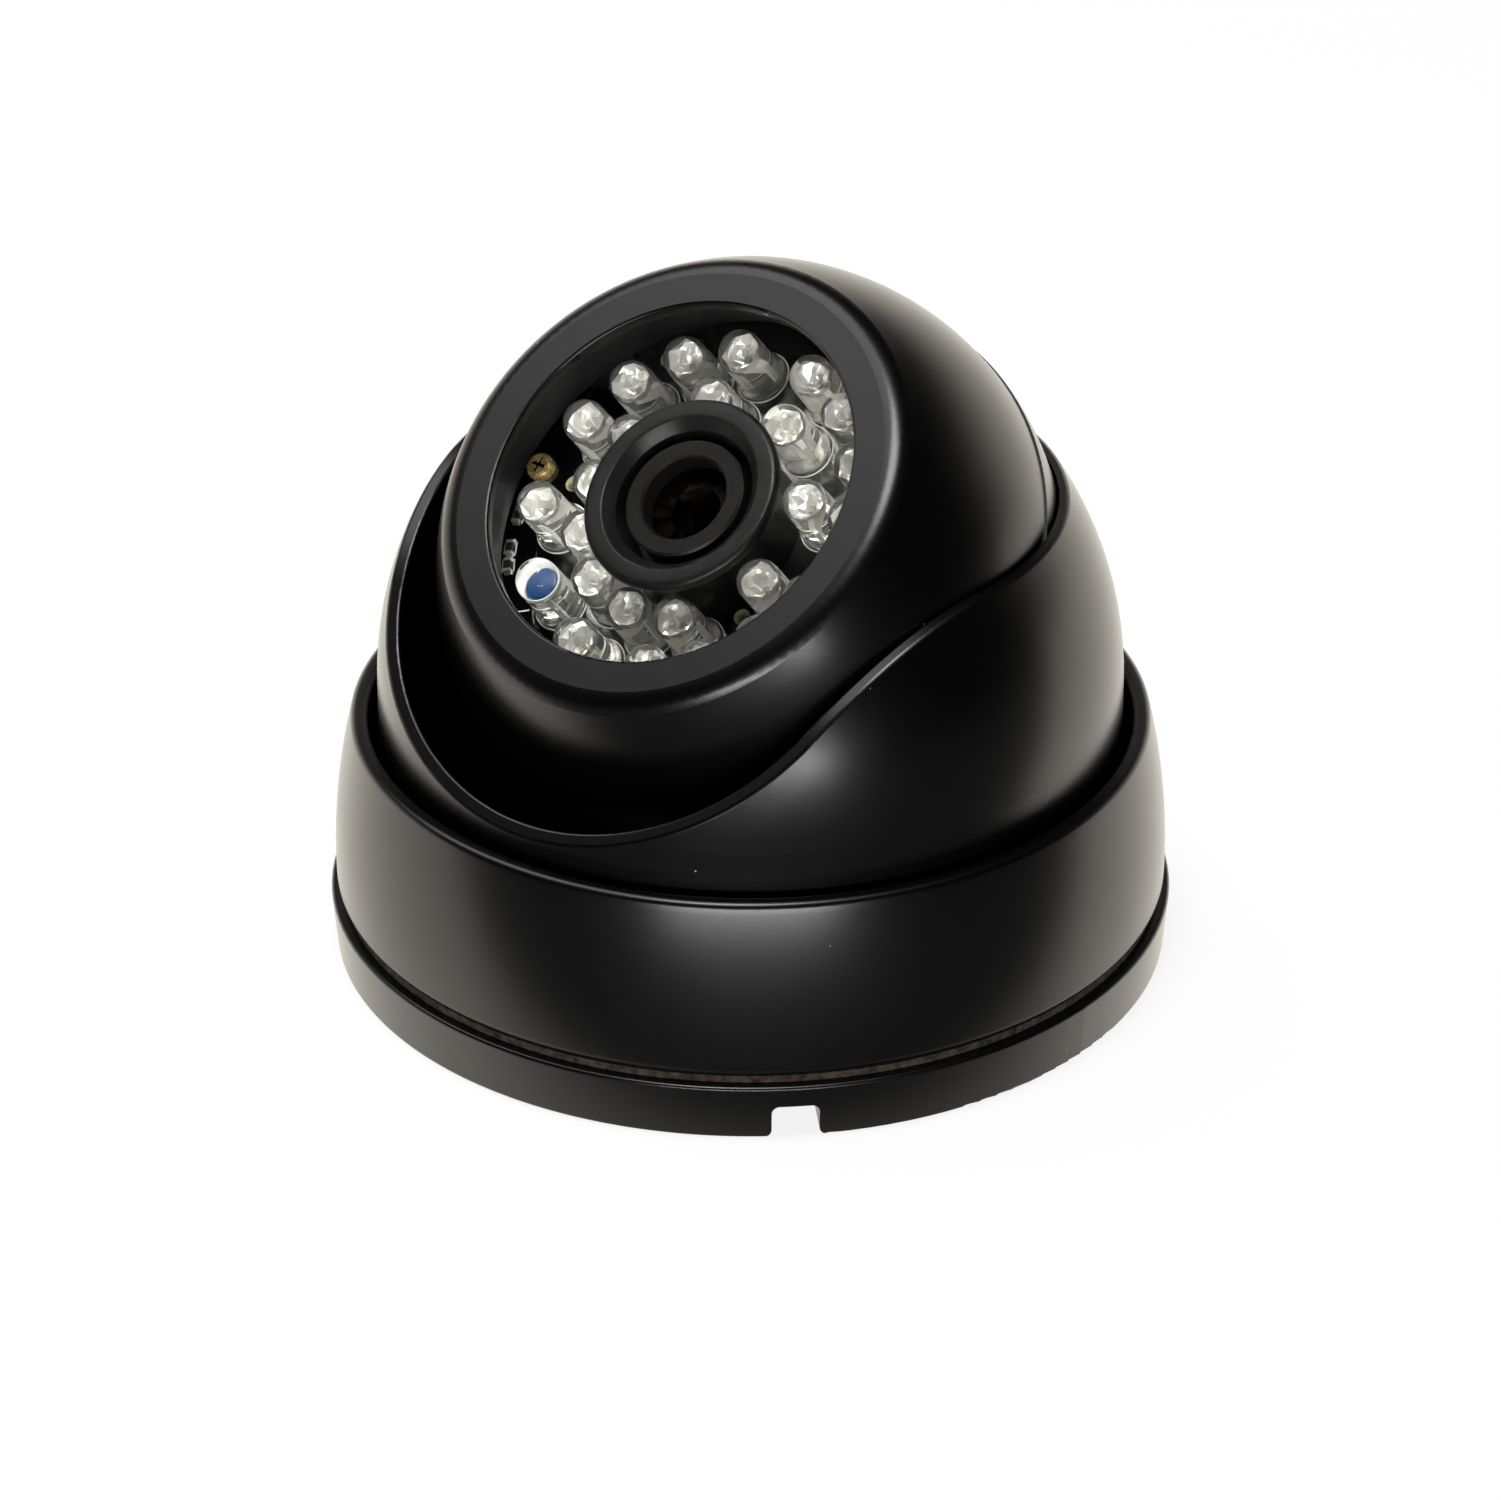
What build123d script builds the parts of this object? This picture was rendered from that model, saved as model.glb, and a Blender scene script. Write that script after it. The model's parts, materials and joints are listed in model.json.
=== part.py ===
from build123d import *
import os
from math import cos, hypot, radians, sin, sqrt, tan

# Turret security camera: a round base, a panning dome shroud and a tilting eyeball with infrared lamps.
# Millimetres, +Z up. The mounting face is z = 0, the pan axis is Z and the eyeball looks towards -Y.

# Eyeball and the room around it
BALL_ROOM = 8.0             # edge of the lamp board to the outside of the eyeball
BALL_WALL = 2.4
REAR_STEP = 0.2             # how far the rear half stands proud at the seam
SEAM_D = -1.0               # seam plane, measured along the lens axis from the ball centre
REST_ELEVATION = 50.0       # lens axis above the mounting plane at rest
BALL_GAP = 0.55             # ball to shroud lip
YOKE_ROOM = 5.2             # ball to the inside of the shroud
BALL_FLOOR_GAP = 6.9        # ball to the base floor
BALL_LIFT = 12.5            # ball centre above the centre of the dome

# Base plate
FLOOR_T = 3.0
BASE_H = 6.5
BASE_DRAFT = 0.6
BASE_LEDGE = 0.74           # base rim beyond the ring cover
POCKET_STEP = 1.3           # floor pocket inside the collar
COLLAR_WALL = 1.9
COLLAR_H = 6.5
MOUNT_PCD = 62.0
MOUNT_HOLE_R = 2.2
MOUNT_SINK_R = 3.6
MOUNT_COUNT = 3
CABLE_HOLE_R = 6.0
NOTCH_W = 5.2
NOTCH_H = 4.0
NOTCH_AZIMUTH = 45.0
NOTCH_CORNER_R = 0.9
NOTCH_MOUTH_R = 1.0         # rounding where the notch opens under the base

# Ring cover and its seals
SEAL_T = 0.8
SEAL_W = 2.2
RING_WALL = 2.9
RIM_DROP = 4.3              # rim of the ring below the centre of the dome
RIM_GAP = 1.0               # rim to the dome
RIM_R = 0.8
RING_FOOT_R = 1.2
RING_CROWN_IN = 2.0         # how far the ring draws in from its widest place to the rim
THREAD_GAP = 0.1            # ring cover on the collar
GLIDE_T = 0.8
SLIDE_GAP = 0.05            # flat faces that slide on one another
LOCK_SCREW_R = 1.5

# Dome shroud
SHROUD_WALL = 1.5
RUN_GAP = 0.06              # shroud skirt in the collar, per side
FLANGE_T = 2.0
FLANGE_W = 1.7
SKIRT_GAP = 1.0             # skirt above the base rim
LIP_RISE = 9.7              # level lip above the ball centre
FRONT_LIP_RISE = 2.0        # lowest place of the lip above the ring
FRONT_SLOPE = 44.0
LIP_BLEND_R = 34.0
LIP_EDGE_R = 0.55
LIP_INNER_R = 0.35

# Yoke and tilt pivots
YOKE_T = 1.0
YOKE_ARM_W = 11.0
YOKE_EYE_R = 4.5
YOKE_RING_W = 10.0
YOKE_DROP = 1.7             # yoke ring above the end of the skirt
LUG_R = 3.2
LUG_H = 7.5
LUG_COUNT = 4
STOP_W = 4.0
STOP_GAP = 0.6
FLAT_R = 9.5                # flats on the sides of the ball
PIVOT_R = 2.0
PIVOT_FIT = 0.05
PIVOT_THREAD_R = 1.5
PIVOT_BOSS_R = 4.5
PIVOT_BOSS_L = 5.2
PIVOT_HEAD_W = 0.3
PIVOT_HEAD_T = 0.9
WASHER_T = 0.25
WASHER_R = 4.0

# Window
BEZEL_W = 5.2
BEZEL_EDGE_R = 3.0
WINDOW_LIP_T = 1.2
WINDOW_SEAL_T = 0.3
GLASS_T = 1.3
GLASS_OVERLAP = 2.6
RETAINER_T = 2.6
RETAINER_W = 1.5
FIT = 0.05                  # loose parts in their seats, per side
INNER_EDGE_R = 0.35

# Infrared lamps
LED_R = 2.5
LED_H = 8.5
LED_FLANGE_W = 0.4
LED_FLANGE_T = 1.0
LED_TIP_GAP = 1.6           # lamp tip below the glass
LED_GAP = 0.3
LEAD_PITCH = 2.54
LEAD_R = 0.25
LEAD_H = 1.6
CROWDED_STEP = 27.0         # inner ring, crowded side
CROWDED_START = 157.5
CROWDED_COUNT = 5
OPEN_STEP = 45.0            # inner ring, open side
OPEN_START = 292.5
OPEN_COUNT = 5
QUAD_STEP = 20.0            # outer ring, three quarters of four lamps
QUAD_FIRST = 15.0
SENSOR_STEP = 29.0          # outer ring, the quarter with the light sensor in its middle
SENSOR_ANGLE = 226.0

# Boards
BOARD_T = 1.6
BOARD_EDGE = 2.4            # lamp board beyond the window seat
BOARD_SCREW_IN = 1.7
BOARD_SCREW_R = 1.2
BOARD_HEAD_R = 1.6
BOARD_HEAD_T = 1.2
BOARD_SCREW_ANGLES = (60.0, 180.0, 300.0)
STANDOFF_R = 2.4
BOARD_HOLES = ((24.3, 136.0), (20.2, 181.0), (11.4, 317.0), (11.4, 45.0))
BOARD_HOLE_R = 0.95
SENSOR_BOARD = 32.0
SENSOR_BOARD_T = 1.2
SENSOR_HOLE_IN = 3.0
SENSOR_CHIP = 9.0
SENSOR_CHIP_T = 1.2
SMALL_SCREW_R = 1.0
SMALL_HEAD_R = 1.9
SMALL_HEAD_T = 1.1
CHASSIS_T = 1.5
CHASSIS_GAP = 3.3           # sensor board above the chassis
CHASSIS_POST_R = 3.0
CHASSIS_POST_PCD = 40.0
SHELL_BOSS_R = 3.2
SHELL_BOSS_IN = 3.6
SHELL_SCREW_R = 1.25
SHELL_HEAD_R = 2.4
SHELL_HEAD_T = 1.8
SHELL_CLAMP_L = 6.0         # screw heads behind the seam
SHELL_THREAD_L = 6.0
SHELL_SCREW_ANGLES = (30.0, 150.0, 270.0)
SHELL_SEAL_W = 1.0
SHELL_SEAL_T = 0.6
SMD_ANGLES = (190.0, 194.0, 203.0, 208.0, 92.0)
GLAND_R = 3.6
CONNECTOR_L = 7.0
CONNECTOR_W = 3.0
CONNECTOR_H = 2.5
WIRE_R = 0.45
WIRE_PITCH = 1.2
WIRE_BOW = 1.2

# Lens
SHADE_LENS_GAP = 1.1
SHADE_WALL = 1.9
SHADE_FLANGE_W = 1.55
SHADE_FLANGE_T = 1.4
SHADE_GLASS_GAP = 0.1
SHADE_LED_GAP = 0.4
LENS_SHOULDER_W = 1.0
LENS_HEAD_H = 4.7
LENS_THREAD_R = 6.0
LENS_THREAD_H = 9.5
LENS_RECESS = 1.2           # lens below the front of its shade
FRONT_RING_W = 1.3
HOLDER_WALL = 1.95
HOLDER_H = 12.5
HOLDER_EDGE = 0.8           # foot beyond the heads of its screws
HOLDER_FOOT_T = 3.0
LOCK_RING_T = 1.7
FILTER_T = 0.5
HOLDER_SCREW_R = 0.8
FRONT_GLASS_T = 1.0
FRONT_GLASS_BULGE = 1.4
FRONT_GLASS_RIM = 0.8       # lens tube wall around the front glass
REAR_GLASS_T = 2.2
REAR_GLASS_RIM = 1.8
APERTURE_R = 2.8

# Worked out across the lens axis
lensHeadR = LENS_THREAD_R + LENS_SHOULDER_W
frontGlassR = lensHeadR - FRONT_GLASS_RIM
lensBezelR = frontGlassR - FRONT_RING_W
rearGlassR = LENS_THREAD_R - REAR_GLASS_RIM
shadeBoreR = lensHeadR + SHADE_LENS_GAP
shadeR = shadeBoreR + SHADE_WALL
shadeFlangeR = shadeR + SHADE_FLANGE_W
holderR = LENS_THREAD_R + HOLDER_WALL
holderHeadR = 1.5 * HOLDER_SCREW_R
holderScrewX = holderR + holderHeadR + HOLDER_EDGE / 4
holderFootX = holderScrewX + holderHeadR + HOLDER_EDGE
connectorY = holderR + HOLDER_EDGE + CONNECTOR_W / 2
sensorHoles = SENSOR_BOARD - 2 * SENSOR_HOLE_IN
ledFlangeR = LED_R + LED_FLANGE_W
crowdedR = (ledFlangeR + LED_GAP / 2) / sin(radians(CROWDED_STEP / 2))
innerLedR = max(shadeR + SHADE_LED_GAP + ledFlangeR, crowdedR)
outerLedR = innerLedR + 2 * ledFlangeR + LED_GAP / 3
windowR = outerLedR + LED_R - LED_GAP / 3
seatR = windowR + GLASS_OVERLAP
boardR = seatR + BOARD_EDGE
boardScrewR = boardR - BOARD_SCREW_IN
ballR = boardR + BALL_ROOM
ballInR = ballR - BALL_WALL
flatX = sqrt(ballR ** 2 - FLAT_R ** 2)
shellScrewR = ballInR - SHELL_BOSS_IN

# Worked out along the pan axis
ballZ = FLOOR_T + BALL_FLOOR_GAP + ballR
domeZ = ballZ - BALL_LIFT
rimZ = domeZ - RIM_DROP
ringZ = BASE_H + SEAL_T
collarZ = BASE_H + COLLAR_H
flangeZ = collarZ + GLIDE_T + SLIDE_GAP
shoulderZ = flangeZ + FLANGE_T + GLIDE_T + 2 * SLIDE_GAP
skirtZ = BASE_H + SKIRT_GAP
yokeZ = skirtZ + YOKE_DROP
lipZ = ballZ + LIP_RISE

# Worked out across the pan axis
shroudInR = ballR + YOKE_ROOM
shroudR = shroudInR + SHROUD_WALL
collarInR = shroudR + RUN_GAP
collarR = collarInR + COLLAR_WALL
flangeR = shroudR + FLANGE_W
ringInR = collarR + THREAD_GAP
ringR = ringInR + RING_WALL
rimInR = shroudR + RIM_GAP
baseR = ringR + BASE_LEDGE
pocketR = collarInR - POCKET_STEP
yokeOutR = shroudInR - 4 * FIT
yokeInR = yokeOutR - YOKE_RING_W
lugR = shroudInR - LUG_R + 0.4
stopR = yokeInR + STOP_W / 2

# Worked out along the lens axis, from the face of the bezel inwards
faceD = sqrt(ballR ** 2 - (windowR + BEZEL_W) ** 2)
seatD = faceD - WINDOW_LIP_T
glassD = seatD - WINDOW_SEAL_T - FIT
glassBackD = glassD - GLASS_T
ledTipD = glassBackD - LED_TIP_GAP
boardD = ledTipD - LED_H
boardBackD = boardD - BOARD_T
seatEndD = boardD + BOARD_HEAD_T + 2.6
shadeD = glassBackD - SHADE_GLASS_GAP
lensD = shadeD - LENS_RECESS
lensShoulderD = lensD - LENS_HEAD_H
lensEndD = lensShoulderD - LENS_THREAD_H
holderTopD = lensShoulderD - LOCK_RING_T - 0.6
sensorBoardD = holderTopD - HOLDER_H
chassisD = sensorBoardD - SENSOR_BOARD_T - CHASSIS_GAP
chassisBackD = chassisD - CHASSIS_T
shellHeadD = SEAM_D - SHELL_CLAMP_L
shellTipD = SEAM_D + SHELL_THREAD_L
sealInR = ballInR + 0.6
filterD = sensorBoardD + SENSOR_CHIP_T + 1.8
frontGlassD = lensD - 3.7

# Tilt pivot, outwards from the flat of the ball
washerX = flatX + SLIDE_GAP
yokeX = washerX + WASHER_T + SLIDE_GAP
springX = yokeX + YOKE_T + SLIDE_GAP
pivotHeadR = PIVOT_R + PIVOT_HEAD_W
pivotHeadX = springX + WASHER_T + SLIDE_GAP

HEAD = Pos(0, 0, ballZ) * Rot(90 - REST_ELEVATION, 0, 0)


def rod(r, z0, z1):
    """A cylinder on the Z axis between two heights."""
    return Pos(0, 0, (z0 + z1) / 2) * Cylinder(r, z1 - z0)


def tube(r_in, r_out, z0, z1):
    """A ring on the Z axis between two heights."""
    return rod(r_out, z0, z1) - rod(r_in, z0 - 1, z1 + 1)


def bar(r, x0, x1):
    """A cylinder on the X axis between two places."""
    return Pos((x0 + x1) / 2, 0, 0) * Rot(0, 90, 0) * Cylinder(r, abs(x1 - x0))


def around(radius, angles):
    """Places on a circle about Z, angles counted from +X."""
    return [Pos(radius * cos(radians(a)), radius * sin(radians(a)), 0) * Rot(0, 0, a) for a in angles]


def evenly(count, first=0.0):
    return [first + 360.0 * i / count for i in range(count)]


def group(solids):
    return Compound(list(solids))


def pan_screw(r, head_r, head_t, length):
    """A pan head screw, head up, its head seated on z = 0, with a cross recess."""
    head = rod(head_r, 0, head_t)
    head = fillet(head.edges().sort_by(Axis.Z)[-1], head_t * 0.45)
    cross = Box(head_r * 1.2, head_r * 0.28, head_t) + Box(head_r * 0.28, head_r * 1.2, head_t)
    return head + rod(r, -length, 0) - Pos(0, 0, head_t) * cross


def cable_notch():
    """What the cable notch takes away: rounded above, and rounded outwards where it opens under the base."""
    side = NOTCH_W / 2
    mouth = side + 2 * NOTCH_MOUTH_R
    points = [(-mouth, -NOTCH_MOUTH_R), (mouth, -NOTCH_MOUTH_R), (mouth, 0), (side, 0), (side, NOTCH_H),
              (-side, NOTCH_H), (-side, 0), (-mouth, 0)]
    with BuildSketch(Plane.XZ) as section:
        with BuildLine():
            Polyline(*points, close=True)
        make_face()
        fillet(section.vertices().group_by(Axis.Y)[-1], NOTCH_CORNER_R)
        fillet(section.vertices().group_by(Axis.Y)[1].sort_by(Axis.X)[1:-1], NOTCH_MOUTH_R)
    return extrude(section.sketch, baseR)


def base_plate():
    outline = make_face(Polyline((0, 0), (baseR - BASE_DRAFT, 0), (baseR, BASE_H), (0, BASE_H), close=True))
    disc = revolve(Plane.XZ * outline, Axis.Z)
    disc = fillet(disc.edges().filter_by(GeomType.CIRCLE), 0.4)
    body = disc + tube(collarInR, collarR, BASE_H - 1, collarZ) - rod(pocketR, FLOOR_T, BASE_H + 1)
    body -= rod(CABLE_HOLE_R, -1, FLOOR_T + 1)
    for spot in around(MOUNT_PCD / 2, evenly(MOUNT_COUNT, 30)):
        body -= spot * rod(MOUNT_HOLE_R, -1, FLOOR_T + 1)
        body -= spot * Pos(0, 0, FLOOR_T) * Cone(MOUNT_HOLE_R, MOUNT_SINK_R, MOUNT_SINK_R - MOUNT_HOLE_R,
                                                 align=(Align.CENTER, Align.CENTER, Align.MAX))
    body -= Rot(0, 0, NOTCH_AZIMUTH) * Pos(0, 4 * POCKET_STEP - pocketR, 0) * cable_notch()
    stop = Box(STOP_W, STOP_W, yokeZ - STOP_GAP - FLOOR_T / 2, align=(Align.CENTER, Align.CENTER, Align.MIN))
    return body + Pos(0, stopR, FLOOR_T / 2) * stop


def base_seal():
    return tube(collarR + 2 * THREAD_GAP, collarR + 2 * THREAD_GAP + SEAL_W, BASE_H, ringZ)


def lock_screw_hole(r):
    return Pos(0, 0, ringZ + COLLAR_H / 2) * Rot(0, 0, 90) * bar(r, collarR, ringR + 2)


def ring_cover():
    crownR = ringR - RING_CROWN_IN
    midZ = (ringZ + rimZ) / 2
    with BuildSketch(Plane.XZ) as section:
        with BuildLine():
            Line((ringInR, ringZ), (ringR, ringZ))
            ThreePointArc((ringR, ringZ), (ringR - 0.12 * RING_CROWN_IN, midZ), (crownR, rimZ))
            Polyline((crownR, rimZ), (rimInR, rimZ), (rimInR, shoulderZ), (ringInR, shoulderZ),
                     (ringInR, ringZ))
        make_face()
        fillet(section.vertices().sort_by(Axis.Y)[-2:], RIM_R)
        fillet(section.vertices().group_by(Axis.Y)[0].sort_by(Axis.X)[-1], RING_FOOT_R)
    return revolve(section.sketch, Axis.Z) - lock_screw_hole(LOCK_SCREW_R)


def cover_lock_screw():
    screw = Rot(0, 0, 90) * bar(LOCK_SCREW_R - FIT / 2, collarR + FIT, ringR - 0.6)
    key = RegularPolygon(LOCK_SCREW_R * 0.55, 6)
    socket = Rot(0, 0, 90) * Pos(ringR - 2, 0, 0) * Rot(0, 90, 0) * extrude(key, 3)
    return Pos(0, 0, ringZ + COLLAR_H / 2) * (screw - socket)


def lower_glide_ring():
    return tube(collarInR + FIT, collarR - FIT, collarZ, collarZ + GLIDE_T)


def upper_friction_ring():
    return tube(rimInR + 2 * FIT, ringInR - 2 * FIT, shoulderZ - GLIDE_T, shoulderZ)


def cable_grommet():
    wall = 1.2
    body = rod(CABLE_HOLE_R - FIT, 0, FLOOR_T + wall) + rod(CABLE_HOLE_R + wall, FLOOR_T, FLOOR_T + wall)
    body = fillet(body.edges().filter_by(GeomType.CIRCLE).sort_by(Axis.Z)[-1], wall / 2)
    return body - rod(CABLE_HOLE_R - wall, -1, BASE_H)


def opening_cut():
    """Everything above the lip: level at the sides and back, sloping down to the front, with a long blend."""
    frontZ = rimZ + FRONT_LIP_RISE
    slope = tan(radians(FRONT_SLOPE))
    cornerY = -shroudR + (lipZ - frontZ) / slope
    far = 2 * shroudR
    with BuildSketch(Plane.YZ) as section:
        with BuildLine():
            Polyline((-far, lipZ - (cornerY + far) * slope), (cornerY, lipZ), (far, lipZ), (far, lipZ + far),
                     (-far, lipZ + far), close=True)
        make_face()
        corner = section.vertices().sort_by_distance((cornerY, lipZ))[0]
        fillet(corner, LIP_BLEND_R)
    return extrude(section.sketch, far, both=True)


def bell(r, z0):
    """A cylinder up to the centre of the dome, with half a ball on top."""
    cap = Sphere(r, arc_size1=0, align=(Align.CENTER, Align.CENTER, Align.MIN))
    return rod(r, z0, domeZ) + Pos(0, 0, domeZ) * cap


def on_bell(point, r):
    return abs(hypot(point.X, point.Y, max(point.Z - domeZ, 0)) - r) < 0.01


def dome_shroud():
    cut = opening_cut()
    shell = bell(shroudR, skirtZ) - bell(shroudInR, skirtZ - 1) - cut
    lip = [edge for edge in shell.edges() if cut.distance_to(edge @ 0.5) < 0.001]
    shell = fillet([edge for edge in lip if on_bell(edge @ 0.5, shroudInR)], LIP_INNER_R)
    lip = [edge for edge in shell.edges() if cut.distance_to(edge @ 0.5) < 0.001]
    shell = fillet([edge for edge in lip if on_bell(edge @ 0.5, shroudR)], LIP_EDGE_R)
    shell -= Pos(0, 0, ballZ) * Sphere(ballR + BALL_GAP)
    shell += tube(shroudR - SHROUD_WALL / 2, flangeR, flangeZ, flangeZ + FLANGE_T)
    lugZ = yokeZ + YOKE_T
    for spot in around(lugR, evenly(LUG_COUNT, 45)):
        shell += spot * rod(LUG_R, lugZ, lugZ + LUG_H)
        shell -= spot * rod(SMALL_SCREW_R, lugZ - 1, lugZ + LUG_H - 1)
    return shell


def yoke_bracket():
    """A flat ring under the dome with an arm up each side of the ball, and a tab that meets the base stop."""
    ring = tube(yokeInR, yokeOutR, yokeZ, yokeZ + YOKE_T)
    for spot in around(lugR, evenly(LUG_COUNT, 45)):
        ring -= spot * rod(SMALL_SCREW_R + FIT, yokeZ - 1, yokeZ + YOKE_T + 1)
    eye = Pos(0, 0, ballZ) * bar(YOKE_EYE_R, yokeX, yokeX + YOKE_T)
    stem = Pos(yokeX, 0, yokeZ) * Box(YOKE_T, 2 * YOKE_EYE_R, ballZ - yokeZ,
                                      align=(Align.MIN, Align.CENTER, Align.MIN))
    foot = Pos(yokeX, 0, yokeZ) * Box(YOKE_T, YOKE_ARM_W, domeZ - yokeZ,
                                      align=(Align.MIN, Align.CENTER, Align.MIN))
    foot = chamfer(foot.edges().filter_by(Axis.X).group_by(Axis.Z)[-1], (YOKE_ARM_W - 2 * YOKE_EYE_R) / 2 - FIT)
    hole = Pos(0, 0, ballZ) * bar(PIVOT_R + PIVOT_FIT, yokeX - 1, yokeX + YOKE_T + 1)
    arm = eye + stem + foot - hole
    tab = Pos(0, -stopR, yokeZ + YOKE_T) * Box(
        STOP_W, YOKE_T, yokeZ + YOKE_T - FLOOR_T - STOP_GAP - 1, align=(Align.CENTER, Align.CENTER, Align.MAX))
    return ring + arm + mirror(arm, Plane.YZ) + tab


def yoke_screws():
    screw = Pos(0, 0, yokeZ) * Rot(180, 0, 0) * pan_screw(SMALL_SCREW_R - FIT / 2, SMALL_HEAD_R, SMALL_HEAD_T,
                                                           LUG_H - 1)
    return group(spot * screw for spot in around(lugR, evenly(LUG_COUNT, 45)))


def both_sides(shape):
    """A piece on the tilt axis and its mirror image."""
    return group([Pos(0, 0, ballZ) * shape, Pos(0, 0, ballZ) * mirror(shape, Plane.YZ)])


def tilt_washers():
    ring = bar(WASHER_R, washerX, washerX + WASHER_T) - bar(PIVOT_R + 3 * PIVOT_FIT, washerX - 1, washerX + 1)
    return both_sides(ring)


def tilt_springs():
    ring = bar(pivotHeadR + 0.5, springX, springX + WASHER_T)
    return both_sides(ring - bar(PIVOT_R + 3 * PIVOT_FIT, springX - 1, springX + 1))


def pivot_screws():
    head = bar(pivotHeadR, pivotHeadX, pivotHeadX + PIVOT_HEAD_T)
    head = fillet(head.edges().sort_by(Axis.X)[-1], PIVOT_HEAD_T * 0.4)
    slot = Pos(pivotHeadX + PIVOT_HEAD_T, 0, 0) * Box(PIVOT_HEAD_T, 2 * pivotHeadR, 0.6)
    shoulder = bar(PIVOT_R, flatX, pivotHeadX)
    thread = bar(PIVOT_THREAD_R - FIT / 2, flatX - PIVOT_BOSS_L + 0.6, flatX)
    return both_sides(head + shoulder + thread - slot)


def side_flats():
    """What the flats take off the ball."""
    size = 3 * ballR
    block = Pos(flatX + size / 2, 0, 0) * Box(size, size, size)
    return block + mirror(block, Plane.YZ)


def half_space(d, side):
    """A block in front of the plane d on the lens axis for side 1, behind it for side -1."""
    size = 3 * ballR
    return Pos(0, 0, d + side * size / 2) * Box(size, size, size)


def front_shell():
    outer = Sphere(ballR) & half_space(faceD, -1)
    outer = fillet(outer.edges().filter_by(GeomType.CIRCLE).sort_by(Axis.Z)[-1], BEZEL_EDGE_R)
    cavity = (Sphere(ballInR) & half_space(seatEndD, -1)) + rod(seatR, 0, seatD)
    shell = (outer & half_space(SEAM_D, 1)) - cavity
    for spot in around(shellScrewR, SHELL_SCREW_ANGLES):
        shell += spot * rod(SHELL_BOSS_R, SEAM_D, seatEndD)
    shell = (shell & Sphere(ballR)) - rod(windowR, 0, faceD + 1)
    shell -= side_flats()
    for side in (1, -1):
        shell += bar(PIVOT_BOSS_R, side * (flatX - PIVOT_BOSS_L), side * flatX)
        shell -= bar(PIVOT_THREAD_R, side * (flatX - PIVOT_BOSS_L - 1), side * (flatX + 1))
    for spot in around(shellScrewR, SHELL_SCREW_ANGLES):
        shell -= spot * rod(SHELL_SCREW_R, SEAM_D - 1, shellTipD + SHELL_SCREW_R)
    rim = shell.edges().filter_by(GeomType.CIRCLE).filter_by(lambda e: abs(e.radius - windowR) < 0.01)
    return fillet(rim.sort_by(Axis.Z)[-1], INNER_EDGE_R)


def rear_shell():
    outer = Sphere(ballR + REAR_STEP) & half_space(SEAM_D, -1)
    shell = outer - Sphere(ballInR)
    for spot in around(shellScrewR, SHELL_SCREW_ANGLES):
        shell += spot * rod(SHELL_BOSS_R, -ballR, SEAM_D) & outer
    for spot in around(CHASSIS_POST_PCD / 2, evenly(3)):
        shell += spot * rod(CHASSIS_POST_R, -ballR, chassisBackD) & Sphere(ballR)
    shell -= side_flats()
    shell -= bar(PIVOT_BOSS_R + 2 * FIT, -ballR, ballR)
    for spot in around(shellScrewR, SHELL_SCREW_ANGLES):
        shell -= spot * rod(SHELL_SCREW_R + FIT, -ballR - 1, 0)
        shell -= spot * rod(SHELL_HEAD_R + 2 * FIT, -ballR - 1, shellHeadD)
    for spot in around(CHASSIS_POST_PCD / 2, evenly(3)):
        shell -= spot * rod(SMALL_SCREW_R, chassisBackD - 6, 0)
    shell -= tube(sealInR, sealInR + SHELL_SEAL_W, SEAM_D - SHELL_SEAL_T, SEAM_D + 1)
    return shell - rod(GLAND_R, -ballR - 1, 0)


def shell_seal():
    ring = tube(sealInR + FIT, sealInR + SHELL_SEAL_W - FIT, SEAM_D - SHELL_SEAL_T + FIT, SEAM_D)
    ring -= bar(PIVOT_BOSS_R + 4 * FIT, -ballR, ballR)
    return ring & Box(2 * (flatX - FIT), 3 * ballR, 3 * ballR)


def shell_screws():
    screw = pan_screw(SHELL_SCREW_R - FIT / 2, SHELL_HEAD_R, SHELL_HEAD_T, shellTipD - shellHeadD)
    screw = Pos(0, 0, shellHeadD) * Rot(180, 0, 0) * screw
    return group(spot * screw for spot in around(shellScrewR, SHELL_SCREW_ANGLES))


def cable_gland():
    back = -ballR - REAR_STEP
    wall = 1.1
    seat = FIT - sqrt(ballInR ** 2 - (GLAND_R + wall) ** 2)
    body = rod(GLAND_R - FIT, back - 0.8, seat + wall) + rod(GLAND_R + wall, seat, seat + wall)
    return body - rod(GLAND_R - 2 * wall, back - 2, 0)


def window_glass():
    return rod(seatR - FIT, glassBackD, glassD)


def window_seal():
    return tube(windowR + FIT, seatR - FIT, glassD + FIT / 2, seatD)


def window_retainer():
    return tube(seatR - FIT - RETAINER_W, seatR - FIT, glassBackD - FIT - RETAINER_T, glassBackD - FIT)


def lamp_angles():
    """Angles of the inner ring, of the outer ring, and of the light sensor in the outer ring."""
    inner = [CROWDED_START + CROWDED_STEP * i for i in range(CROWDED_COUNT)]
    inner += [OPEN_START + OPEN_STEP * i for i in range(OPEN_COUNT)]
    outer = [90.0 * q + QUAD_FIRST + QUAD_STEP * i for q in (0, 1, 3) for i in range(4)]
    outer += [SENSOR_ANGLE - SENSOR_STEP, SENSOR_ANGLE + SENSOR_STEP]
    return inner, outer


def lamp_spots():
    inner, outer = lamp_angles()
    return around(innerLedR, inner) + around(outerLedR, outer)


def sensor_spot():
    return around(outerLedR, [SENSOR_ANGLE])[0]


def lamp():
    """A round lamp body, standing on the board."""
    bulb = rod(LED_R, boardD, ledTipD - LED_R) + Pos(0, 0, ledTipD - LED_R) * Sphere(LED_R)
    return bulb + rod(ledFlangeR, boardD, boardD + LED_FLANGE_T)


def ir_leds():
    body = lamp()
    return group(spot * body for spot in lamp_spots())


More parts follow.
